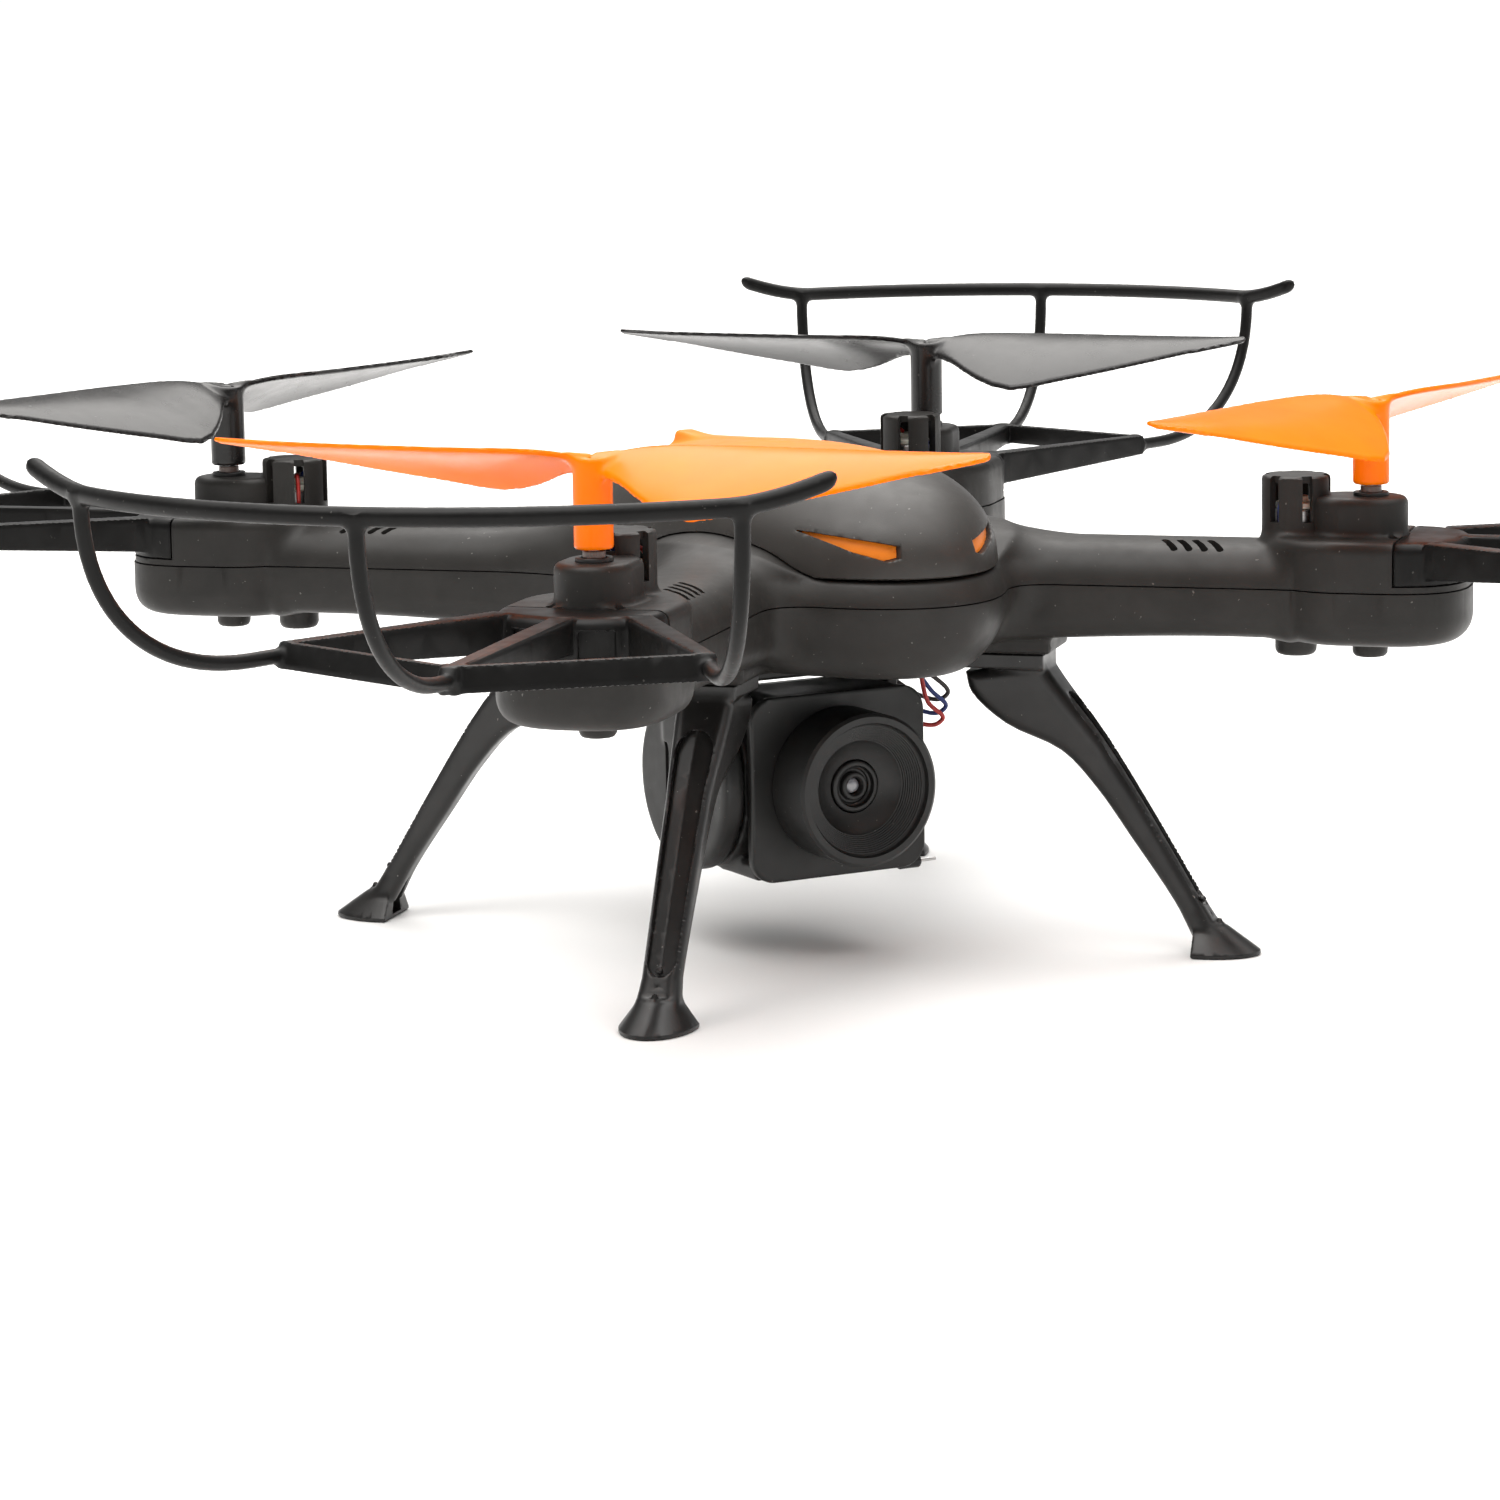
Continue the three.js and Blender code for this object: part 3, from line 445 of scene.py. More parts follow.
def metal(name, colour, roughness, streak):
    """Turned or ground metal, with fine streaks round or along it."""
    material, tree, shader, where = start_material(name, colour, roughness, Metallic=1.0)
    stretched = add_node(tree, "Mapping", Vector=where, Scale=streak).outputs["Vector"]
    lines = noise(tree, stretched, 0.4, 3)
    gloss = spread(tree, lines, 0.3, 0.7, roughness * 0.7, roughness * 1.4)
    tint = mix_colour(tree, lines, tuple(c * 0.8 for c in colour), colour)
    fill(tree, shader, Base_Color=tint, Roughness=gloss, Normal=bumps(tree, lines, 0.3, 0.004))
    return material


SHELL = plastic("shell_plastic", (0.0175, 0.0162, 0.0148), 0.46, (0.3, 0.03), 0.2, 0.2, 0.24)
CANOPY = plastic("canopy_plastic", (0.025, 0.0225, 0.02), 0.44, (0.22, 0.05), 0.12, 0.2, 0.42)
ORANGE = plastic("orange_plastic", (1.0, 0.18, 0.0005), 0.22, (1.5, 0.01), 0.05, 0, 0.12)
AMBER = plastic("amber_plastic", (0.82, 0.22, 0.015), 0.36, (0.5, 0.01), 0.08, 0, 0.3)
GLOSS_BLACK = plastic("gloss_black_plastic", (0.009, 0.0083, 0.008), 0.25, (2, 0.004), 0.2, 0.1, 0.34)
GUARD = plastic("guard_nylon", (0.0055, 0.0053, 0.0051), 0.38, (0.4, 0.01), 0.3, 0.1, 0.15)
LEG = plastic("leg_nylon", (0.0095, 0.0088, 0.0084), 0.33, (0.6, 0.008), 0.35, 0.3, 0.42)
CAMERA_BLACK = plastic("camera_plastic", (0.0115, 0.0114, 0.011), 0.42, (0.3, 0.02), 0.2, 0.15, 0.4)
DARK = plastic("dark_plastic", (0.004, 0.004, 0.004), 0.45, (0.5, 0.01), 0.2)
NYLON = plastic("natural_nylon", (0.78, 0.73, 0.62), 0.42, (0.6, 0.01), 0.08, Subsurface_Weight=0.1)
BUSHING = plastic("tinted_bushing", (0.2, 0.14, 0.12), 0.3, (0.8, 0.01), 0.1, Transmission_Weight=0.25)
BOARD = plastic("solder_mask", (0.015, 0.12, 0.045), 0.32, (0.5, 0.02), 0.2)
CELL = plastic("shrink_film", (0.3, 0.34, 0.4), 0.3, (2.5, 0.05), 0.15)
WIRE_RED = plastic("red_vinyl", (0.5, 0.03, 0.025), 0.36, (0.5, 0.01), 0.15)
WIRE_BLUE = plastic("blue_vinyl", (0.015, 0.035, 0.18), 0.36, (0.5, 0.01), 0.15)
WIRE_BLACK = plastic("dark_vinyl", (0.03, 0.022, 0.02), 0.36, (0.5, 0.01), 0.15)
BLACK_STEEL = metal("blackened_steel", (0.05, 0.05, 0.05), 0.45, (1, 1, 1))
STEEL = metal("ground_steel", (0.62, 0.61, 0.60), 0.28, (1, 1, 20))
CAN = metal("motor_can", (0.55, 0.54, 0.53), 0.32, (1, 1, 12))
BRASS = metal("turned_brass", (0.74, 0.50, 0.20), 0.30, (1, 1, 8))


def lens_glass():
    """A small coated front element whose base colour is a pale grey in patches: a painted reflection that
    stands in for where the light catches it.
    """
    material, tree, shader, where = start_material(
        "coated_glass", (0.1, 0.11, 0.12), 0.06, Specular_IOR_Level=0.8, Coat_Weight=1.0, Coat_Roughness=0.03)
    # painted reflection: the glass's base colour mixes two pale greys in noise patches, in place of the light
    # it reflects
    painted_reflection_patches = spread(tree, noise(tree, where, 3, 1), 0.3, 0.7, 0, 1)
    fill(tree, shader, Base_Color=mix_colour(tree, painted_reflection_patches, (0.27, 0.28, 0.29), (0.18, 0.18, 0.2)))
    return material


GLASS = lens_glass()

# -------- camera, light and floor
VIEW_AZIMUTH, VIEW_ELEVATION, VIEW_ROLL = -28.862, 8.477, -0.881
VIEW_TARGET, VIEW_DISTANCE = Vector((0, 0, 0.057)), 0.917576
LIGHT_TARGET = Vector((0, 0, 0.06))


def toward(azimuth, elevation):
    """The direction at an azimuth and elevation in degrees; azimuth 0 is straight off the nose."""
    a, e = math.radians(azimuth), math.radians(elevation)
    return Vector((math.sin(a) * math.cos(e), -math.cos(a) * math.cos(e), math.sin(e)))


def make_view():
    data = bpy.data.cameras.new("view")
    data.lens, data.sensor_width = 113.51, 36
    data.shift_x, data.shift_y = -0.02192, -0.06954
    data.clip_start, data.clip_end = 0.01, 50
    view = add_object("view", data)
    back = toward(VIEW_AZIMUTH, VIEW_ELEVATION)
    view.location = VIEW_TARGET + back * VIEW_DISTANCE
    facing = (-back).to_track_quat("-Z", "Y").to_matrix().to_4x4()
    roll = Matrix.Rotation(math.radians(VIEW_ROLL), 4, "Z")
    view.rotation_euler = (facing @ roll).to_euler()
    scene.camera = view


def make_light(name, azimuth, elevation, distance, size, watts, colour):
    data = bpy.data.lights.new(name, "AREA")
    data.shape = "SQUARE"
    data.size = size
    data.energy = watts
    data.color = colour
    light = add_object(name, data)
    away = toward(azimuth, elevation)
    light.location = away * distance + LIGHT_TARGET
    light.rotation_euler = (-away).to_track_quat("-Z", "Y").to_euler()


# Each step of the sky: the sine of its elevation, its brightness, and its blue next to its red.
SKY_LEVELS = ((0.10, 0.40, 1), (0.20, 0.075, 1), (0.58, 0.11, 0.98), (0.84, 1.0, 0.96))


def make_sky():
    """White at the horizon, dim above it and bright overhead, like a tent lit from its roof."""
    world = bpy.data.worlds.new("studio")
    scene.world = world
    world.use_nodes = True
    tree = world.node_tree
    direction = add_node(tree, "TexCoord").outputs["Generated"]
    ramp = add_node(tree, "ValToRGB", Fac=add_node(tree, "SeparateXYZ", Vector=direction).outputs["Z"])
    stops = ramp.color_ramp.elements
    while len(stops) < len(SKY_LEVELS):
        stops.new(0.5)
    for stop, (height, level, warmth) in zip(stops, SKY_LEVELS):
        stop.position = height
        stop.color = (level, level * math.sqrt(warmth), level * warmth, 1)
    fill(tree, tree.nodes["Background"], Color=ramp.outputs["Color"], Strength=2.6)


def make_sun():
    data = bpy.data.lights.new("sun", "SUN")
    data.energy = 1.0
    data.angle = math.radians(50)
    add_object("sun", data)


def make_floor():
    half = 6
    corners = [(-half, -half, 0), (half, -half, 0), (half, half, 0), (-half, half, 0)]
    mesh = bpy.data.meshes.new("floor")
    mesh.from_pydata(corners, [], [(0, 1, 2, 3)])
    floor = add_object("floor", mesh)
    floor.location.z = cad_box[0].z
    material, tree, shader, where = start_material("floor_paper", (0.86, 0.86, 0.855), 0.8)
    fibres = spread(tree, noise(tree, where, 40, 4), 0.3, 0.7, 0, 1)
    fill(tree, shader, Base_Color=mix_colour(tree, fibres, (0.85, 0.85, 0.845), (0.87, 0.87, 0.865)))
    mesh.materials.append(material)


def make_studio():
    warm, cool = (1, 0.98, 0.95), (0.95, 0.98, 1)
    make_sky()
    make_sun()
    make_light("key", -75, 62, 1.5, 0.9, 7, warm)
    make_light("fill", 50, 30, 1.7, 0.8, 2, cool)
    make_light("back", 151, 48, 1.5, 1.0, 9, warm)
    make_floor()


scene.view_settings.view_transform = "Standard"
make_view()
make_studio()

# -------- the camera's three wires
WIRE_RADIUS = 0.45
WIRE_EXIT_X = 21.2
SUPPORT_X = 19.9  # where the wires enter the bracket's right-hand side
WIRE_HOLE = 0.8
# Each wire's exit along Y, how far out it loops, and its lowest point.
WIRES = {
    "red": (-12.5, 27.8, 40.8, WIRE_RED),
    "blue": (-10, 30, 42.6, WIRE_BLUE),
    "black": (-7.5, 32, 44.8, WIRE_BLACK),
}


def wire_route(exit_y, reach, low):
    return [
        (WIRE_EXIT_X, exit_y, 59.4),
        (WIRE_EXIT_X + 0.1, exit_y, 56.6),
        (WIRE_EXIT_X + 1.5, exit_y - 0.6, 53.2),
        (reach - 3.4, exit_y - 1.2, low + 4.8),
        (reach, exit_y - 1.2, low + 1.4),
        (reach - 1.4, exit_y - 0.4, low),
        (reach - 5, exit_y + 1.6, low + 0.9),
        (SUPPORT_X, -4 + (exit_y + 10) * 0.6, low + 6.4),
    ]


def make_wires():
    for colour, (exit_y, reach, low, material) in WIRES.items():
        route = smooth_path(wire_route(exit_y, reach, low), 8)
        node = f"camera_wire_{colour}"
        tube(f"{node}_sleeve", route, WIRE_RADIUS, material, f"wire_{colour}", "airframe", node)


make_wires()

# -------- the airframe's outside
POD_INNER, POD_STRAIGHT, POD_OUTER = SHAFT - 3.55, SHAFT + 2.45, SHAFT + 18.65
POD_HALF = 15.4
POD_EDGE = 2.4  # the rounding of its top edge
POD_TOP = SEAM_Z + 9.3
POD_BOTTOM = SEAM_Z - 10.2
BODY_HALF_WIDTH, BODY_HALF_LENGTH = 33, 63.5
DECK_Z = RIM_Z - GAP
BOSS_RADIUS, BOSS_LENGTH, BOSS_TOP = 7, 4.5, POD_TOP + 7.2
TOWER_RADIUS, TOWER_SLOTS = 6.4, 6
SADDLE_START = SHAFT + 6.65
SADDLE_BOTTOM = SEAM_Z + 1.5
SADDLE_DEPTH = 1.7
BUSHING_HOLE = 2.3
SHELL_OVERLAP = 4  # how far each shell's hollow is cut past the seam
LEG_REACH = 45
VENT_COUNT, VENT_STEP, VENT_START, VENT_SIDE = 4, 2.9, SHAFT - 37, 5.6
VENT_HALF_LENGTH, VENT_HALF_WIDTH = 2.6, 0.65


def arm_place(x, y):
    """Along and across the nearest arm; the fold between two arms is rounded off."""
    fold = 3
    ax, ay = np.sqrt(x * x + fold * fold), np.sqrt(y * y + fold * fold)
    side = np.where(x * y >= 0, 1, -1)
    return (ax + ay) * ARM_SLOPE, (ay - ax) * ARM_SLOPE * side


def pod_plan(u, v):
    """Distance to a pod's outline: round towards the body, and nearly square at its far end."""
    squareness = 2.6
    past = np.maximum(u - POD_STRAIGHT, 0) / (POD_OUTER - POD_STRAIGHT)
    outer = (past**squareness + np.abs(v / POD_HALF) ** squareness) ** (1 / squareness) - 1
    inner = np.hypot(np.maximum(POD_INNER - u, 0), v) - POD_HALF
    return np.where(u < SHAFT, inner, outer * POD_HALF)


def arm_outside(u, v, z):
    """An arm, widening and deepening towards the body, and the pod at its end."""
    half = 12.6 + 6.6 * fade(u, 54, 24)
    crown = 0.016 * v * v
    top = SEAM_Z + 7.9 + 4.2 * fade(u, 60, 26) - crown
    bottom = SEAM_Z - 9.6 - 2 * fade(u, 90, 26)
    bar = smooth_max(smooth_max(np.abs(v) - half, z - top, 7), bottom - z, 5)
    bar = smooth_max(bar, u - MOTOR, 1)
    pod = smooth_max(smooth_max(pod_plan(u, v), z - POD_TOP, POD_EDGE), POD_BOTTOM - z, 5.4)
    return smooth_min(bar, pod, 2.5)


def body_outside(x, y, z):
    """An oval body that draws in towards the belly, most at the nose, and a little towards the deck."""
    plan = ellipse(x, y, BODY_HALF_WIDTH, BODY_HALF_LENGTH)
    depth = np.clip((SEAM_Z - z) / (SEAM_Z - BELLY_Z), 0, 0.985)
    tuck = 9.5 + 3 * fade(-y, 5, 45)
    rise = np.clip((z - SEAM_Z) / (DECK_Z - SEAM_Z), 0, 1)
    narrowing = tuck * (1 - np.sqrt(1 - depth * depth)) + 2 * rise**1.5
    steepness = tuck * depth / np.sqrt(1 - depth * depth) / (SEAM_Z - BELLY_Z)
    side = (plan + narrowing) / np.sqrt(1 + steepness**2)
    return smooth_max(smooth_max(side, z - DECK_Z, 1), BELLY_Z - z, 1.5)


def arms_and_body(x, y, z):
    """The arms run into the body with a wide fold above the seam and a tighter one under it."""
    u, v = arm_place(x, y)
    fold = 5 + 5 * fade(z, SEAM_Z - 9, SEAM_Z)
    return smooth_min(arm_outside(u, v, z), body_outside(x, y, z), fold)


def tower_and_boss(u, v, z):
    """The motor's tower, and the rotor shaft's boss, which reaches a little towards it."""
    along = u - np.clip(u, SHAFT - BOSS_LENGTH, SHAFT)
    boss = smooth_max(np.sqrt(along * along + v * v) - BOSS_RADIUS, z - BOSS_TOP, 1.8)
    tower = smooth_max(np.hypot(u - MOTOR, v) - TOWER_RADIUS, z - TOWER_TOP, 1)
    return smooth_max(joined(boss, tower), SEAM_Z - z, 1)


def tower_slots(u, v, z):
    """Windows through the tower's wall, and a shallow scallop in its cap over each."""
    angle = np.arctan2(v, u - MOTOR)
    sector = 2 * math.pi / TOWER_SLOTS
    turn = (angle + sector / 2) % sector - sector / 2
    radius = np.hypot(u - MOTOR, v)
    sideways = np.abs(radius * np.sin(turn))
    outward = radius * np.cos(turn)
    over_boss = (u > MOTOR) & (np.abs(v) < 3)
    foot = np.where(over_boss, BOSS_TOP + 0.6, TOWER_TOP - 8.6)
    window = common(sideways - 1, foot - z, z - TOWER_TOP + 1.3, 2 - outward, outward - TOWER_RADIUS - 0.5)
    scallop = common(sideways - 0.95, TOWER_RADIUS - 1.3 - outward, TOWER_TOP - 3 - z)
    return joined(window, scallop)


def arm_vents(u, forward, z):
    """Slanted slots through the slope of the arm's top that faces the nose."""
    vents = 1e3
    lean = math.radians(30)
    for i in range(VENT_COUNT):
        du, dv = u - (VENT_START + VENT_STEP * i), forward - VENT_SIDE
        along = np.abs(dv * math.cos(lean) + du * math.sin(lean))
        sideways = du * math.cos(lean) - dv * math.sin(lean)
        slot = np.sqrt(sideways**2 + np.maximum(along - VENT_HALF_LENGTH, 0) ** 2) - VENT_HALF_WIDTH
        vents = np.minimum(vents, slot)
    return common(vents, SEAM_Z + 3 - z)


def upper_shell(x, y, z):
    u, v = arm_place(x, y)
    under_saddle = SADDLE_START - GAP - u
    recess = common(under_saddle, SADDLE_BOTTOM - GAP - z, -(pod_plan(u, v) + SADDLE_DEPTH))
    ledge = common(under_saddle, POD_TOP - SADDLE_DEPTH - z, SEAM_Z - z)
    hull = without(arms_and_body(x, y, z), joined(recess, ledge))
    outside = smooth_min(hull, tower_and_boss(u, v, z), 1.6)
    hollow = common(outside + WALL, SEAM_Z - SHELL_OVERLAP - z)
    deck = ellipse(x, y, 20, 46)
    bore = np.hypot(u - SHAFT, v) - BUSHING_HOLE
    screw_holes = common(np.hypot(u - SHAFT - 5.2, np.abs(v) - 6.2) - 0.9, POD_TOP - 2.5 - z)
    vents = arm_vents(u, np.where(x < 0, v, -v), z)
    shell = without(outside, hollow, deck, bore, screw_holes, tower_slots(u, v, z), vents)
    return common(shell, SEAM_Z + SEAM_GAP - z)


LOWER_GROW = 0.22  # the lower shell stands a hair proud of the upper one
PAD_BOTTOM = BELLY_Z + 0.8
FOOT_BOTTOM = POD_BOTTOM - 3.6
SWITCH_X, SWITCH_Y = 18, 19.5
SCREW_X, SCREW_Y = 12, -40
HATCH_LOW, HATCH_HIGH = span("battery_hatch")


def lower_shell(x, y, z):
    u, v = arm_place(x, y)
    hull = arms_and_body(x, y, z) - LOWER_GROW * fade(u, POD_INNER - 20, POD_INNER)
    hull = smooth_max(hull, BELLY_Z - z, 1)
    pad = rounded_box(u - LEG_REACH, v, z - (PAD_BOTTOM + 3), 10, 8, 3, 1)
    outside = smooth_min(hull, pad, 1.5)
    hollow = common(outside + WALL, z - SEAM_Z - SHELL_OVERLAP)
    shaft_foot = drum(u - SHAFT, v, z, 3.3, FOOT_BOTTOM, POD_BOTTOM + 2.3, 1.4)
    motor_foot = drum(u - MOTOR, v, z, 3.9, FOOT_BOTTOM, POD_BOTTOM + 1.2, 1.6)
    shell = smooth_min(without(outside, hollow), joined(shaft_foot, motor_foot), 0.8)
    shaft_hole = common(np.hypot(u - SHAFT, v) - 1.7, POD_BOTTOM - 2.7 - z)
    hatch = common(np.abs(x) - HATCH_HIGH[0] - GAP, HATCH_LOW[1] - GAP - y, y - HATCH_HIGH[1] - GAP)
    hatch = common(hatch, z - BELLY_Z - 3)
    switch = rounded_box(x - SWITCH_X, y - SWITCH_Y, z - BELLY_Z, 1.4, 3.9, 5, 1.2)
    exits = joined(*(np.hypot(x - WIRE_EXIT_X, y - wire[0]) - WIRE_HOLE for wire in WIRES.values()))
    exits = common(exits, z - BELLY_Z - 5)
    wells = common(np.hypot(np.abs(x) - SCREW_X, y - SCREW_Y) - 2.2, z - BELLY_Z - 1.2)
    shell = without(shell, shaft_hole, hatch, switch, exits, wells)
    return common(shell, z - SEAM_Z + SEAM_GAP)


REACH = (POD_OUTER + 1.5) * ARM_SLOPE + 12.5  # half the width of the box that holds the shells


def make_airframe():
    cell, keep = 0.62, 0.27
    low, high = (-REACH, -REACH, SEAM_Z), (REACH, REACH, TOWER_TOP)
    piece = mould("upper_shell_moulding", upper_shell, low, high, cell, keep)
    place(piece, SHELL, "shell", "airframe", "upper_shell")
    low, high = (-REACH, -REACH, BELLY_Z - 0.5), (REACH, REACH, SEAM_Z)
    piece = mould("lower_shell_moulding", lower_shell, low, high, cell, keep)
    place(piece, SHELL, "shell", "airframe", "lower_shell")


make_airframe()

# -------- canopy and its orange insert
CANOPY_HALF_WIDTH, CANOPY_HALF_LENGTH, CANOPY_HEIGHT = 31, 62, 20.1
PEAK_SHIFT = 12
SQUARENESS = 2.4
CANOPY_WALL = 1.4
EYE_BACK = -38  # the eyes are cut only in front of this
FIN_TOP, FIN_END = 95.4, 40.5
# One eye in X and Z, and half of the orange panel in X and Y.
EYE = [(20.6, 85.5), (15.6, 84.6), (10.7, 83.7), (7.6, 83), (7.9, 80.9), (10, 80.3), (14.5, 81.9)]
DORSAL_HALF = [
    (0, -28), (13, -27.5), (21, -26), (25.5, -21), (27.3, -15), (26.6, -10.5),
    (22, -7), (19, 2), (17, 18), (13, 34), (7, 44),
]
DORSAL = DORSAL_HALF + [(-x, y) for x, y in DORSAL_HALF[:0:-1]]


def canopy_shape(x, y, z):
    """A dome, squarer than an ellipsoid, whose peak sits behind the middle of its rim."""
    rise = np.maximum((z - RIM_Z) / CANOPY_HEIGHT, 0)
    shrink = (1 - np.minimum(rise, 0.9999) ** SQUARENESS) ** (1 / SQUARENESS)
    along = (y + PEAK_SHIFT * (1 - shrink)) / CANOPY_HALF_LENGTH
    plan = np.sqrt((x / CANOPY_HALF_WIDTH) ** 2 + along**2)
    return (plan**SQUARENESS + rise**SQUARENESS) ** (1 / SQUARENESS) - 1


canopy_skin = as_distance(canopy_shape)


def canopy(x, y, z):
    skin = canopy_skin(x, y, z)
    shell = common(skin, -(skin + CANOPY_WALL))
    eyes = common(polygon(np.abs(x), z, EYE), y - EYE_BACK)
    shell = smooth_max(shell, -joined(eyes, polygon(x, y, DORSAL)), 0.2)
    shell = smooth_max(shell, RIM_Z - z, 0.6)
    return common(shell, GAP - arms_and_body(x, y, z))


def canopy_insert(x, y, z):
    """A liner behind the eyes, pads that fill them, and the panel along the back with its fin."""
    skin = canopy_skin(x, y, z)
    under = skin + CANOPY_WALL + GAP
    liner = common(under, -under - 1.2, y + 16, RIM_Z + 2 - z)
    eyes = common(polygon(np.abs(x), z, EYE) + 0.08, y - EYE_BACK)
    pads = common(skin + 0.5, -under, eyes)
    panel = common(smooth_max(skin, polygon(x, y, DORSAL) + 0.35, 0.5), -under - 0.8)
    half = 0.7 + 1.6 * np.clip(y / 40, 0, 1) + 0.1 * (RIM_Z + CANOPY_HEIGHT - z)
    top = FIN_TOP + 0.8 * fade(y, 22, 0) + 0.6 * fade(y, 28, 40)
    fin = smooth_max(np.abs(x) - half, z - top, 1.4)
    fin = smooth_max(smooth_max(fin, y - FIN_END + 0.25 * (96 - z), 2), -2 - y, 1.5)
    fin = common(fin, -under - 0.8)
    whole = joined(liner, pads, smooth_min(panel, fin, 2))
    return common(whole, GAP - arms_and_body(x, y, z))


def make_canopy():
    low = (-CANOPY_HALF_WIDTH, -CANOPY_HALF_LENGTH, RIM_Z)
    high = (CANOPY_HALF_WIDTH, CANOPY_HALF_LENGTH, RIM_Z + CANOPY_HEIGHT)
    piece = mould("canopy_moulding", canopy, low, high, 0.45, 0.25)
    place(piece, CANOPY, "canopy", "airframe", "canopy")
    piece = mould("canopy_crest_and_eyes", canopy_insert, low, high, 0.45, 0.25)
    place(piece, AMBER, "amber", "airframe", "canopy_insert")


# -------- placing copies on the four arms
def turn(degrees):
    return Matrix.Rotation(math.radians(degrees), 4, "Z")


def shift(x, y, z):
    return Matrix.Translation((x * MM, y * MM, z * MM))


def copy_moved(piece, name, matrix):
    """Another piece with the same mesh, moved, and turned right side out again if it is mirrored."""
    twin = add_object(name, piece.data.copy())
    twin.data.name = name
    twin.data.transform(matrix)
    if matrix.is_negative:
        twin.data.flip_normals()
    return twin


def on_each_arm(pattern, reach, name, material, slot, node=None):
    """Copies a piece made about the z axis onto all four arms, each named after its arm."""
    for arm, heading in ARMS.items():
        twin = copy_moved(pattern, f"{name}_{arm}", turn(heading) @ shift(reach, 0, 0))
        place(twin, material, slot, "airframe", *([f"{node}_{arm}"] if node else []))
    bpy.data.objects.remove(pattern)


# -------- propellers
ROTOR_RADIUS, HUB_RADIUS = 70.5, 3.4
# One blade as sections: reach, leading edge, trailing edge, and each edge's drop under the hub's top.
BLADE = [
    (2.4, 2, -2.4, 1.2, 4), (8, 4.5, -7.5, 0.3, 5), (15, 5.8, -13.5, 0, 7.6), (24, 6.2, -18.5, 0, 9.4),
    (32, 5.6, -16.4, 0, 8), (46, 4.2, -11.2, 0, 5.2), (60, 2.6, -5.8, -0.1, 2.2),
    (70.5, 0.4, -0.9, -0.3, 0.1),
]
BLADE_LINE = np.array(smooth_path(BLADE, 6))
BLADE_TIP = [(65.5, -4.9), (68.6, -3.6), (70.1, -1.9), (70.5, -0.4), (70.1, 0.9), (68.5, 1.5)]
BLADE_PLAN = (
    [(float(s[0]), float(s[1])) for s in BLADE_LINE[::-3] if s[0] < 66] + [(0, 1), (0, -1.5)]
    + [(float(s[0]), float(s[2])) for s in BLADE_LINE[::3] if s[0] < 62] + BLADE_TIP
)
# The angle that each propeller stands at, and its hand.
PROPELLERS = {
    "front_left": (-48, 1), "front_right": (21, -1), "rear_left": (21, -1), "rear_right": (-48, 1),
}


def propeller(x, y, z):
    """Two blades and a hub. A blade is a crowned sheet between its two edges, thinner to the tip."""
    side = np.where(x < 0, -1, 1)
    reach, across = x * side, y * side
    lead, trail, lead_drop, trail_drop = (
        np.interp(reach, BLADE_LINE[:, 0], BLADE_LINE[:, i]) for i in range(1, 5))
    chord = lead - trail
    share = np.clip((lead - across) / chord, 0, 1)
    crown = 0.24 * chord * share * (1 - share)
    surface = HUB_TOP - lead_drop + (lead_drop - trail_drop) * share + crown
    tilt = np.sqrt(1 + ((trail_drop - lead_drop) / chord) ** 2)
    half = 0.5 - 0.14 * reach / ROTOR_RADIUS
    past_edge = np.maximum(polygon(reach, across, BLADE_PLAN) + half, 0)
    blade = np.sqrt(past_edge**2 + ((z - surface) / tilt) ** 2) - half
    hub = drum(x, y, z, HUB_RADIUS, HUB_LOW, HUB_TOP - 1.4, 0.7)
    bore = common(np.hypot(x, y) - 1.4, z - HUB_TOP + 3.1)
    return without(smooth_min(blade, hub, 2.2), bore)


def make_propellers():
    low, high = (-ROTOR_RADIUS, -19.5, HUB_LOW), (ROTOR_RADIUS, 19.5, HUB_TOP + 1.2)
    pattern = mould("propeller_pattern", propeller, low, high, 0.42, 0.3, 40)
    for arm, (heading, spin) in PROPELLERS.items():
        material, slot = (ORANGE, "orange") if "front" in arm else (GLOSS_BLACK, "gloss_black")
        hand = Matrix.Diagonal((1, spin, 1, 1))
        matrix = turn(ARMS[arm]) @ shift(SHAFT, 0, 0) @ turn(heading - ARMS[arm]) @ hand
        twin = copy_moved(pattern, f"propeller_blades_{arm}", matrix)
        place(twin, material, slot, f"rotor_{arm}", f"propeller_{arm}")
    bpy.data.objects.remove(pattern)


# -------- motors, bushings and collars
MOTOR_LOW, MOTOR_TOP = span("motor_rear_right")[0][2], span("motor_rear_right")[1][2]
CAN_RADIUS, CAN_TOP = 4, MOTOR_TOP - 4.6
GROOVE_RADIUS, GROOVE_LOW = 3.85, MOTOR_LOW + 1
# Each motor lead's steps: distance from the motor's axis, and height over the motor's top.
LEAD_STEPS = ((1.6, -2), (2.6, -1.4), (3.9, -1.8), (4.75, -3.6), (4.8, -5.4), (4.7, -7.4))
LEAD_RADIUS = 0.42


def turned_on_each_arm(name, profile, rounding, reach, material, slot, node=None):
    """A turned piece on each arm, from its outline of [radius, height]."""
    pattern = make_object(f"{name}_pattern", *revolve(rounded(profile, rounding), 48))
    on_each_arm(pattern, reach, name, material, slot, node)


def ring(inner, outer, low, top):
    return [(inner, low), (outer, low), (outer, top), (inner, top)]


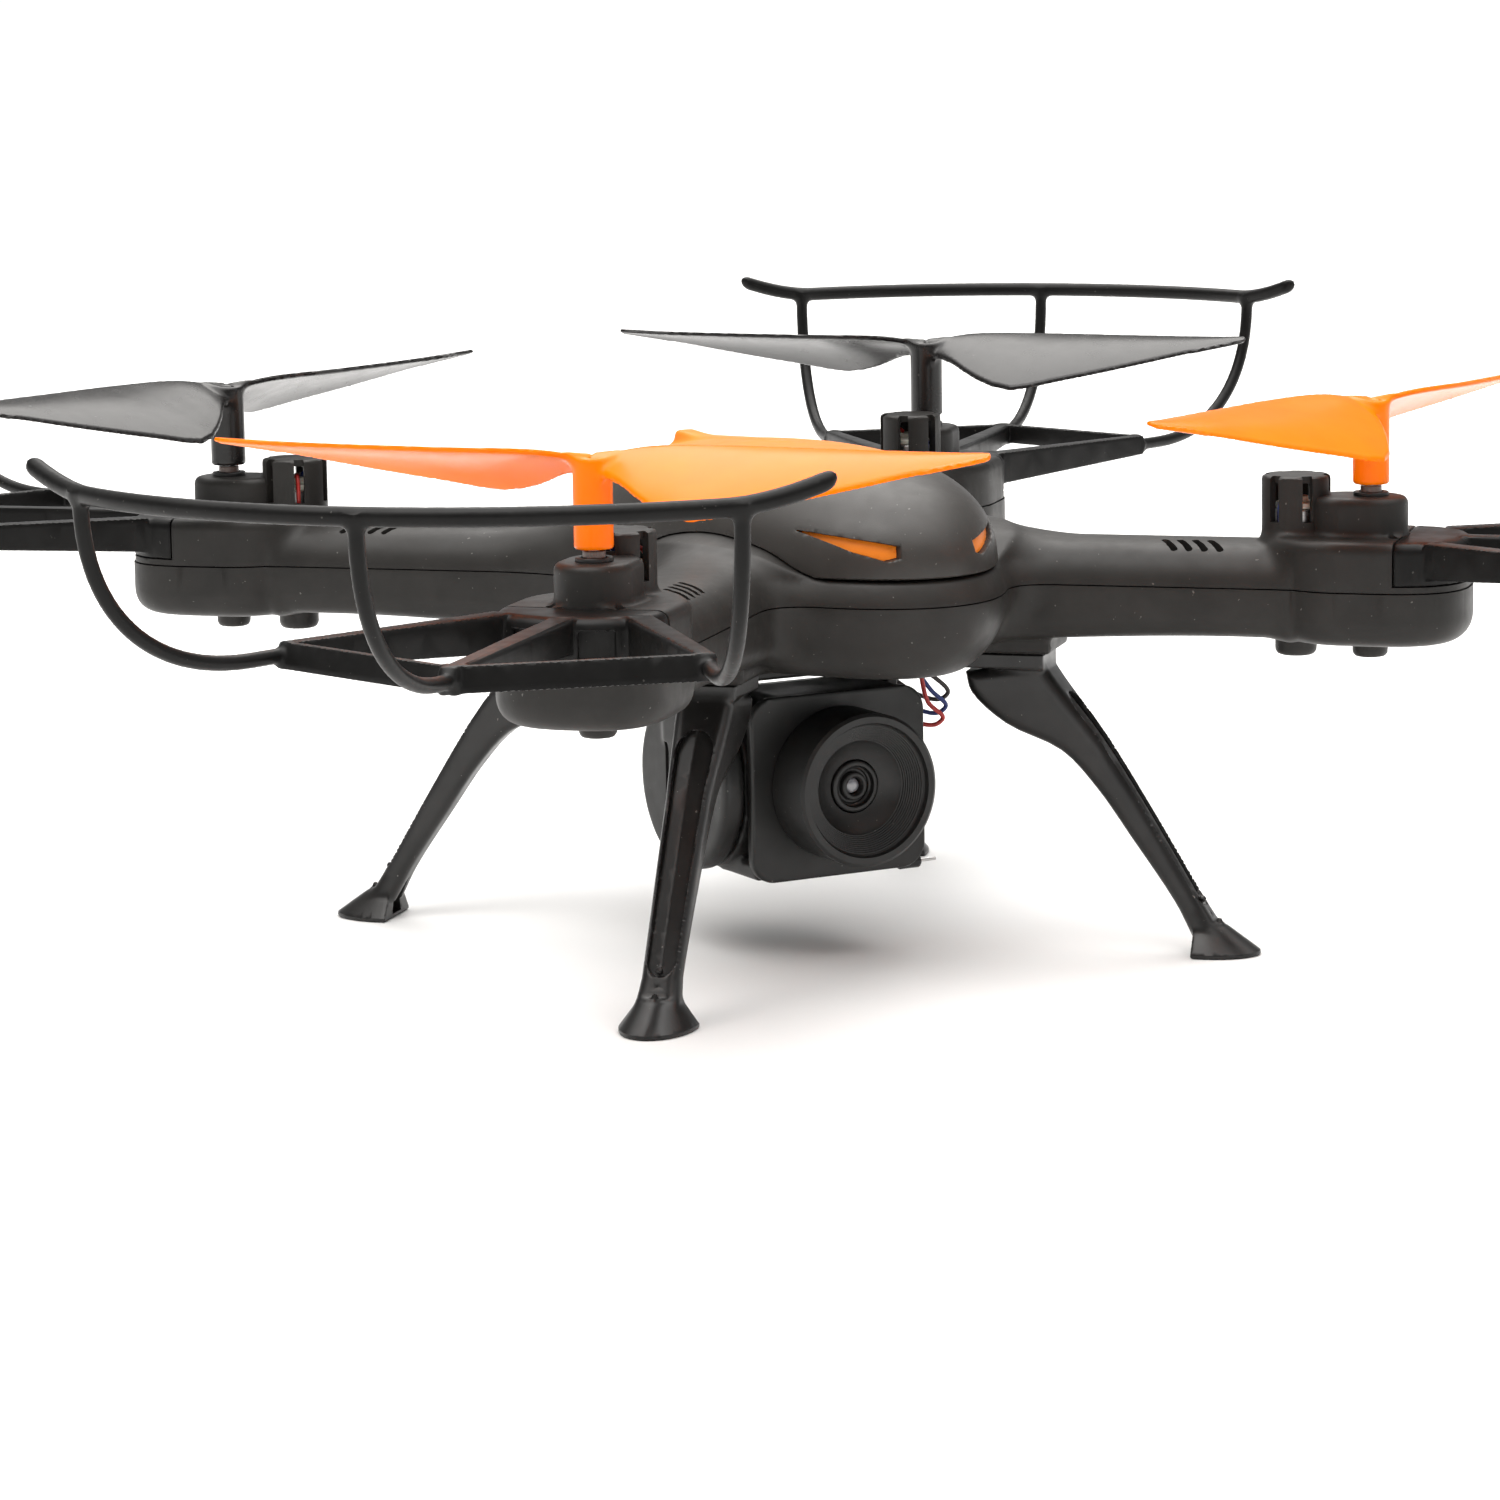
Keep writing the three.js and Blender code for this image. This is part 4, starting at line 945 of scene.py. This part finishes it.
def make_drive():
    collar = ring(2.3, 3.3, HUB_LOW - 2.4, HUB_LOW - 1.4)
    turned_on_each_arm("collar_ring", collar, 0.3, SHAFT, DARK, "gloss_black", "shaft_collar")
    bushing = ring(1.3, 2, HUB_LOW - 9.1, HUB_LOW - 0.3)
    turned_on_each_arm("bushing_sleeve", bushing, 0.2, SHAFT, BUSHING, "nylon", "shaft_bushing")
    can = [
        (0.8, MOTOR_LOW + 6), (0.8, MOTOR_LOW), (CAN_RADIUS, MOTOR_LOW), (CAN_RADIUS, GROOVE_LOW),
        (GROOVE_RADIUS, GROOVE_LOW + 0.2), (GROOVE_RADIUS, GROOVE_LOW + 0.6),
        (CAN_RADIUS, GROOVE_LOW + 0.8), (CAN_RADIUS, CAN_TOP), (0, CAN_TOP)]
    turned_on_each_arm("motor_can", can, 0.35, MOTOR, CAN, "steel", "motor")
    cap = [
        (0, CAN_TOP + 0.1), (3.9, CAN_TOP + 0.1), (3.9, MOTOR_TOP - 3.4), (2.2, MOTOR_TOP - 3.2),
        (2.2, MOTOR_TOP - 2.2), (0, MOTOR_TOP - 2.2)]
    turned_on_each_arm("motor_end_cap", cap, 0.3, MOTOR, NYLON, "nylon")


def make_motor_leads():
    """A red and a blue lead from each motor's end cap, down two of its tower's windows."""
    for arm, heading in ARMS.items():
        h = math.radians(heading)
        for colour, material, bearing in (("red", WIRE_RED, 120), ("blue", WIRE_BLUE, -120)):
            a = math.radians(bearing)
            line = []
            for radius, height in LEAD_STEPS:
                u, v = MOTOR + radius * math.cos(a), radius * math.sin(a)
                across = (u * math.cos(h) - v * math.sin(h), u * math.sin(h) + v * math.cos(h))
                line.append((*across, MOTOR_TOP + height))
            name = f"motor_lead_{colour}_{arm}"
            tube(name, smooth_path(line, 5), LEAD_RADIUS, material, f"wire_{colour}", "airframe")


# -------- blade guards
GUARD_CENTRE, GUARD_RADIUS, GUARD_ARC, CURL_START = 145.4, 79.8, 52.2, 40
BAR_Z, FRAME_Z = 109.4, 79.1
BAR_THICK, STEM_THICK = 1.5, 1.25
FRAME_LOW, FRAME_TOP = 77, POD_TOP
STEM_SQUARENESS = 2.3
STEM_LENGTH = 42
SADDLE_WALL = 1.3
CLEAR_START = 118  # from here outwards the frame is cut clear of the pod
# The frame's corners along and across the arm, and where its arms meet the saddle.
SIDE_FOOT = (166.6, 35.9)
MIDDLE_FOOT = (186.8, 0)
SIDE_ROOT, MIDDLE_ROOT = (127.5, 12), (131.5, 0)
TIE_RUN, TIE_RISE = 20.2, 35.9  # from a side corner to the middle one


def guard_bar(u, v, z):
    """An arc of round bar whose ends curl out and up."""
    angle = np.degrees(np.arctan2(np.abs(v), u - GUARD_CENTRE))
    curl = np.clip((angle - CURL_START) / (GUARD_ARC - CURL_START), 0, 1.1) ** 1.8
    radial = np.hypot(u - GUARD_CENTRE, v) - GUARD_RADIUS - 3 * curl
    round_bar = np.hypot(radial, z - BAR_Z - 3.7 * curl) - BAR_THICK
    return smooth_max(round_bar, (angle - GUARD_ARC) * math.radians(GUARD_RADIUS), 2)


def on_line(u, v, start, end):
    """Places along and across the line from start to end, and its length."""
    length = math.dist(start, end)
    along_u, along_v = np.subtract(end, start) / length
    along = (u - start[0]) * along_u + (v - start[1]) * along_v
    across = (v - start[1]) * along_u - (u - start[0]) * along_v
    return along, across, length


def stem(u, v, z, start, end):
    """A bar that drops from the guard bar at start and curves to level at end, in an upright plane."""
    along, across, run = on_line(u, v, start, end)
    drop = BAR_Z - FRAME_Z
    p = np.maximum(1 - along / run, 0)
    q = np.maximum((BAR_Z - z) / drop, 0)
    n = STEM_SQUARENESS
    total = np.maximum(p**n + q**n, 1e-6)
    slope = total ** (1 / n - 1) * np.sqrt((p ** (n - 1) / run) ** 2 + (q ** (n - 1) / drop) ** 2)
    curve = (total ** (1 / n) - 1) / np.maximum(slope, 0.01)
    return common(np.hypot(curve, across) - STEM_THICK, z - BAR_Z, along - STEM_LENGTH)


def strut(u, v, z, start, end, low_end=FRAME_LOW, widening=0.0):
    """A level bar of the frame; its underside and width can change towards its end."""
    along, across, length = on_line(u, v, start, end)
    share = np.clip(along / length, 0, 1)
    low = FRAME_LOW + (low_end - FRAME_LOW) * share
    side = np.abs(across) - 1.5 - widening * share
    beam = smooth_max(smooth_max(side, z - FRAME_TOP, 0.7), low - z, 0.7)
    return smooth_max(beam, np.maximum(along - length, -along), 0.7)


def guard_frame(u, v, z):
    """Three arms from the saddle, two ties between them with slanted faces, and the stems."""
    arms = smooth_min(
        strut(u, v, z, SIDE_FOOT, SIDE_ROOT, FRAME_LOW - 2.6, 0.9),
        strut(u, v, z, (188, 0), MIDDLE_ROOT, FRAME_LOW - 2, 0.7), 1)
    outward = (u - MIDDLE_FOOT[0]) * TIE_RISE + v * TIE_RUN
    lean = 0.34 * (z - FRAME_LOW)
    tie = smooth_max(
        strut(u, v, z, SIDE_FOOT, MIDDLE_FOOT), outward / math.hypot(TIE_RISE, TIE_RUN) - 1.6 + lean, 0.4)
    stems = joined(stem(u, v, z, (204.8, 53.3), (172, 38.4)), stem(u, v, z, (225.2, 0), (186, 0)))
    return smooth_min(smooth_min(arms, tie, 0.8), stems, 1.4)


def guard(u, v, z):
    """The bar and its frame on a saddle, a cap with two windows that fits over the pod's end."""
    mirrored = np.abs(v)
    whole = smooth_min(guard_frame(u, mirrored, z), guard_bar(u, v, z), 1.6)
    plan = pod_plan(u, v)
    inside = common(plan + SADDLE_WALL, z - POD_TOP + SADDLE_WALL)
    whole = without(whole, common(inside, CLEAR_START - u))
    cover = smooth_max(smooth_max(plan, z - POD_TOP, POD_EDGE), SADDLE_BOTTOM - z, 0.4)
    cover = without(cover, inside)
    window = rounded_box(mirrored - 6, u - 130, z - 76.6, 3.1, 12, 2.5, 0.6)
    cover = smooth_max(cover, -common(window, -plan - SADDLE_WALL / 2), 0.3)
    cover = smooth_max(cover, SADDLE_START - u, 0.4)
    whole = smooth_min(whole, cover, 0.8)
    return common(whole, BOSS_RADIUS + GAP - np.hypot(u - SHAFT, v))


def make_guards():
    low, high = (SADDLE_START, -66, SADDLE_BOTTOM), (GUARD_CENTRE + GUARD_RADIUS + 2, 66, BAR_Z + 6)
    pattern = mould("guard_pattern", guard, low, high, 0.55, 0.4)
    on_each_arm(pattern, 0, "guard_frame", GUARD, "guard", "guard")


# -------- landing legs
# A leg's two edges, along the arm and up, and its half-width at each height.
LEG_INNER = [
    (37.3, 53.6), (38.4, 49.6), (45, 43.6), (55.8, 38.6), (62.6, 31.5), (69.3, 22), (77.4, 10.2), (81, 3.6)]
LEG_OUTER = [
    (52.6, 55.8), (56, 50.9), (62.7, 42.4), (66, 37.6), (72.2, 27.8), (78.2, 17.8), (84.4, 7.4), (87, 3.6)]
LEG_HALF = [(3.6, 4.2), (8.8, 3.7), (19.9, 3.8), (29.6, 4), (38.1, 4.2), (43, 4.6), (50.2, 5.2), (54.7, 5.4)]
INNER_LINE = [tuple(p) for p in smooth_path(LEG_INNER, 4)]
OUTER_LINE = [tuple(p) for p in smooth_path(LEG_OUTER, 4)]
LEG_TOP = span("landing_leg_rear_right")[1][2]
GROOVE_TOP, GROOVE_FOOT = 46, 12
TOE_BACK, TOE_CENTRE = 81.4, 83
# Two small bumps over the toe, along the arm and up.
PIPS = ((82.6, 10.4), (85.8, 6.2))


def leg_foot(u, v, z):
    """A flared toe: half an ellipse that shrinks upwards."""
    reach = np.interp(z, [0, 0.9, 5.6], [10.8, 10.6, 4])
    half = np.interp(z, [0, 0.9, 5.6], [7.1, 7, 3.6])
    past = np.maximum(u - TOE_CENTRE, 0) / reach
    return (np.sqrt(past**2 + (v / half) ** 2) - 1) * half


foot_skin = as_distance(leg_foot)


def leg(u, v, z):
    """A curved stalk with a groove down its outer edge, a notched toe, and a flange on top."""
    half = np.interp(z, *zip(*LEG_HALF))
    profile = polygon(u, z, INNER_LINE + OUTER_LINE[::-1])
    stalk = smooth_max(profile, np.abs(v) - half, 2.4)
    past_end = np.maximum(z - GROOVE_TOP, 0) + np.maximum(GROOVE_FOOT - z, 0)
    oval = np.hypot(v, past_end) - 0.72 * half
    depth = 0.45 + 0.25 * np.abs(v)
    stalk = smooth_max(stalk, -common(oval, line_distance(u, z, OUTER_LINE) - depth), 0.35)
    foot = smooth_max(foot_skin(u, v, z), TOE_BACK - u, 0.5)
    foot = smooth_max(smooth_max(foot, -z, 0.7), z - 6, 1)
    flange = rounded_box(u - LEG_REACH, v, z - LEG_TOP + 1.45, 8, 6, 1.45, 0.5)
    whole = smooth_min(smooth_min(stalk, foot, 0.6), flange, 1)
    notch = common(np.abs(v) - 0.34 * (8.2 - z), 0.9 - z, u - 83.4 - 0.1 * z)
    pips = joined(*(np.sqrt((u - reach) ** 2 + v * v + (z - height) ** 2) - 0.6 for reach, height in PIPS))
    return smooth_min(smooth_max(whole, -notch, 0.3), pips, 0.3)


def make_legs():
    pattern = mould("leg_pattern", leg, (37, -7.2, 0), (94, 7.2, LEG_TOP), 0.42, 0.4)
    on_each_arm(pattern, 0, "leg_moulding", LEG, "leg", "landing_leg")


make_canopy()
make_propellers()
make_drive()
make_motor_leads()
make_guards()
make_legs()

# -------- camera
LEFT_X, LEFT_INNER_X, RIGHT_INNER_X, RIGHT_X = -24.3, -19.6, 17.2, 19.6
ROOF_LOW, ROOF_TOP = 53.4, BELLY_Z - GAP
CHEEK_RADIUS, SUPPORT_RADIUS, DRUM_RADIUS = 17.5, 8, 17.2
PIN_Y, PIN_Z = -17.6, 15.4
PLATE_BACK, PLATE_FRONT = -19.6, -21.4
NOSE_FRONT = -19.3
LENS_Z = 33.4
LENS_RADIUS, LENS_BORE = 14.7, 5.2
PIVOT_BORE = 2.3
PIN_RADIUS = 0.35
SEAM_X, SEAM_HALF, SEAM_DEPTH = -14, 0.22, 0.6  # the groove round the drum
# The lens cell's outline: radius, and distance in front of the plate.
CELL_PROFILE = [
    (1.7, 1), (4.9, 1), (4.9, 6.2), (4.6, 6.4), (4, 6.4), (3.8, 5.5), (3.3, 5.3), (3.3, 4.9), (2.8, 4.9),
    (2.7, 6), (2.4, 6.2), (1.9, 6.2), (1.7, 5.9)]
GLASS_RADIUS, GLASS_BACK, GLASS_EDGE, GLASS_CROWN = 1.45, 2, 4.9, 0.5


def block(x, y, z, x0, x1, y0, y1, z0, z1, radius=0.5):
    """A rounded box from its two ends along each axis."""
    return rounded_box(
        x - (x0 + x1) / 2, y - (y0 + y1) / 2, z - (z0 + z1) / 2,
        (x1 - x0) / 2, (y1 - y0) / 2, (z1 - z0) / 2, radius)


def cross_drum(x, y, z, radius, x0, x1, rounding=0.5, centre_y=CAMERA_Y, centre_z=CAMERA_Z):
    """A drum along X, on the camera's tilt axis unless told otherwise."""
    return drum(y - centre_y, z - centre_z, x, radius, x0, x1, rounding)


def camera_bracket(x, y, z):
    """A roof, a big round cheek on the left with a slot in it, and a small support on the right."""
    roof = block(x, y, z, LEFT_X, RIGHT_X, -16.5, 4, ROOF_LOW, ROOF_TOP, 0.8)
    cheek = smooth_min(
        cross_drum(x, y, z, CHEEK_RADIUS, LEFT_X, LEFT_INNER_X, 1.6),
        block(x, y, z, LEFT_X, LEFT_INNER_X, -14, 4, 40, ROOF_LOW + 1, 1.2), 2)
    support = smooth_min(
        cross_drum(x, y, z, SUPPORT_RADIUS, RIGHT_INNER_X, RIGHT_X),
        block(x, y, z, RIGHT_INNER_X, RIGHT_X, -10.5, 4, CAMERA_Z, ROOF_LOW + 1), 1)
    sides = joined(common(cheek, x - LEFT_INNER_X), common(support, RIGHT_INNER_X - x))
    slot = block(x, y, z, LEFT_X - 2, LEFT_X + 1.8, 2.2, 3.5, 26, 40, 0.2)
    bore = cross_drum(x, y, z, PIVOT_BORE, -22.6, 40, 0.1)
    return smooth_max(smooth_min(roof, sides, 1.2), -joined(slot, bore), 0.3)


def camera_housing(x, y, z):
    """A hollow drum with a groove round it, a box nose, and the boss of the stop pin."""
    low, high = LEFT_INNER_X + GAP, RIGHT_INNER_X - GAP
    collar = cross_drum(x, y, z, DRUM_RADIUS, low, -14.2, 0.8)
    body = joined(cross_drum(x, y, z, DRUM_RADIUS - 0.3, low, high, 1), collar)
    groove = common(np.abs(x - SEAM_X) - SEAM_HALF, -body - SEAM_DEPTH)
    body = smooth_max(body, -groove, 0.2)
    nose = block(x, y, z, -13, high, NOSE_FRONT, CAMERA_Y, 15.8, 50.4, 2.2)
    nose = smooth_min(nose, block(x, y, z, -17, high, NOSE_FRONT, -4, 15.4, 19, 1), 0.6)
    stop = cross_drum(x, y, z, 1.3, 15, RIGHT_X, 0.4, PIN_Y, PIN_Z)
    whole = smooth_min(common(smooth_min(body, nose, 1.5), x - high), stop, 0.4)
    hollow = cross_drum(x, y, z, DRUM_RADIUS - 2, -17, 14.6, 1)
    well = block(x, y, z, -11, 13, -30, CAMERA_Y, 21, 46, 1)
    bore = cross_drum(x, y, z, PIVOT_BORE, -40, 40, 0.1)
    return without(whole, hollow, well, bore, y - NOSE_FRONT)


def camera_plate(x, y, z):
    flat = rounded_box(x, z - 33, 0 * y, 19, 17.8, 9, 5)
    plate = smooth_max(smooth_max(flat, PLATE_FRONT - y, 0.5), y - PLATE_BACK, 0.4)
    return common(plate, 8 - np.hypot(x, z - LENS_Z))


def lens_profile():
    """The barrel: a round lip, a cone of fine steps that keep out stray light, and a flat floor."""
    steps, tread, riser = 10, 0.33, 0.28
    lip = [(LENS_RADIUS, 0.3), (LENS_RADIUS, 11.3), (LENS_RADIUS - 0.6, 11.8), (12.9, 11.8), (12.6, 10.9)]
    cone = []
    for i in range(steps):
        radius, height = 12.3 - tread * i, 10.6 - riser * i
        cone += [(radius, height), (radius - tread * 0.75, height - 0.05)]
    return [(LENS_BORE, 0.3), *lip, *cone, (8.7, 7.6), (6.5, 6.3), (LENS_BORE, 5.9)]


def glass_profile():
    angles = np.radians(range(0, 90, 15))
    crown = [(GLASS_RADIUS * math.cos(a), GLASS_EDGE + GLASS_CROWN * math.sin(a)) for a in angles]
    return [(0, GLASS_BACK), (GLASS_RADIUS, GLASS_BACK), *crown, (0, GLASS_EDGE + GLASS_CROWN)]


def on_lens_axis(name, profile, segments, crease=40):
    """Turns a profile of [radius, distance in front of the plate] about the lens's axis."""
    vertices, faces = revolve(profile, segments)
    placed = np.stack([vertices[:, 0], PLATE_FRONT - vertices[:, 2], LENS_Z + vertices[:, 1]], 1)
    return make_object(name, placed, faces, crease=crease)


def black_part(piece, node, body="camera_head"):
    place(piece, CAMERA_BLACK, "camera", body, node)


def make_camera():
    cell = 0.5
    low, high = (LEFT_X, -20.5, CAMERA_Z - CHEEK_RADIUS), (RIGHT_X, 14.5, ROOF_TOP)
    piece = mould("camera_bracket_moulding", camera_bracket, low, high, cell, 0.35)
    black_part(piece, "camera_bracket", "airframe")
    low, high = (LEFT_INNER_X, NOSE_FRONT, 14), (RIGHT_X, 14.2, 50.7)
    piece = mould("camera_drum", camera_housing, low, high, cell, 0.25)
    black_part(piece, "camera_housing")
    low, high = (-19, PLATE_FRONT, 15.2), (19, PLATE_BACK, 50.8)
    piece = mould("camera_face_plate", camera_plate, low, high, 0.4, 0.3)
    black_part(piece, "camera_plate")
    piece = on_lens_axis("lens_barrel_turned", lens_profile(), 128, 20)
    black_part(piece, "lens_barrel")
    piece = on_lens_axis("lens_cell_turned", rounded(CELL_PROFILE, 0.12, 2), 96)
    black_part(piece, "lens_cell")
    piece = on_lens_axis("lens_front_element", glass_profile(), 64)
    place(piece, GLASS, "glass", "camera_head", "lens_glass")
    pin = [(0, 19.9), (PIN_RADIUS, 19.9), (PIN_RADIUS, 23.4), (0, 23.4)]
    vertices, faces = revolve(rounded(pin, 0.12), 24)
    placed = np.stack([vertices[:, 2], PIN_Y + vertices[:, 0], PIN_Z + vertices[:, 1]], 1)
    place(make_object("camera_stop_pin", placed, faces), STEEL, "steel", "camera_head", "camera_pin")


# -------- hatch, switch and screws
SWITCH_LOW, SWITCH_HIGH = span("power_switch")
SCREW_RADIUS, SCREW_HALF = 1.9, 0.45


def hatch_leaf(x, y, z):
    """A thin leaf with a ribbed grip, and the tab of its latch."""
    (x0, y0, z0), (x1, y1, z1) = HATCH_LOW, HATCH_HIGH
    leaf = block(x, y, z, x0, x1, y0, y1, z0, z0 + 1.5, 0.5)
    tab = block(x, y, z, -4, 4, y0, y0 + 1.5, z0, z1, 0.4)
    ribs = np.abs((y - y0) % 2.2 - 1.1) - 0.35
    grip = common(np.abs(x) - 6, np.abs(y - y0 - 8.8) - 4.4, -ribs, z - z0 - 0.35)
    return smooth_max(joined(leaf, tab), -grip, 0.2)


def switch_slider(x, y, z):
    centre_x, centre_y, _ = (SWITCH_LOW + SWITCH_HIGH) / 2
    low, high = SWITCH_LOW[2], SWITCH_HIGH[2]
    knob = rounded_box(x - centre_x, y - centre_y, z - (low + 1.7), 1, 2, 1.7, 0.4)
    ribs = common(np.abs((y - centre_y) % 1 - 0.5) - 0.2, z - low - 0.3)
    foot = rounded_box(x - centre_x, y - centre_y, z - high + 0.8, 2.4, 3, 0.8, 0.3)
    return joined(smooth_max(knob, -ribs, 0.15), foot)


def screw_head(x, y, z):
    """A domed head with a cross recess in its lower face."""
    head = smooth_max(np.hypot(x, y) - SCREW_RADIUS, np.abs(z) - SCREW_HALF, 0.5)
    reach, width = np.maximum(np.abs(x), np.abs(y)), np.minimum(np.abs(x), np.abs(y))
    cross = common(reach - 1.15, width - 0.24, z + 0.05)
    return smooth_max(head, -cross, 0.08)


def make_belly_fittings():
    piece = mould("battery_hatch_leaf", hatch_leaf, HATCH_LOW, HATCH_HIGH, 0.3, 0.2)
    place(piece, SHELL, "shell", "hatch", "battery_hatch")
    piece = mould("power_switch_slider", switch_slider, SWITCH_LOW, SWITCH_HIGH, 0.2, 0.4)
    place(piece, GLOSS_BLACK, "gloss_black", "switch_slider", "power_switch")
    corner = np.array((SCREW_RADIUS, SCREW_RADIUS, SCREW_HALF))
    vertices, faces = contour(screw_head, -corner, corner, 0.1)
    for number, x in enumerate((-SCREW_X, SCREW_X), 1):
        screw = make_object(f"belly_screw_{number}", vertices + (x, SCREW_Y, BELLY_Z + 0.75), faces, 0.4)
        place(screw, BLACK_STEEL, "steel", "airframe")


CARRIED_OVER = {
    "circuit_board": BOARD,
    "battery": CELL,
    "camera_pivot_left": STEEL,
    "camera_pivot_right": STEEL,
    **{f"prop_shaft_{arm}": STEEL for arm in ARMS},
    **{f"main_gear_{arm}": NYLON for arm in ARMS},
    **{f"pinion_{arm}": BRASS for arm in ARMS},
}


def finish_carried_over():
    """The CAD nodes that stay as they are get the same worked materials as everything else."""
    for node, material in CARRIED_OVER.items():
        frame["nodes"][node].material_slots[0].material = material


make_camera()
make_belly_fittings()
finish_carried_over()
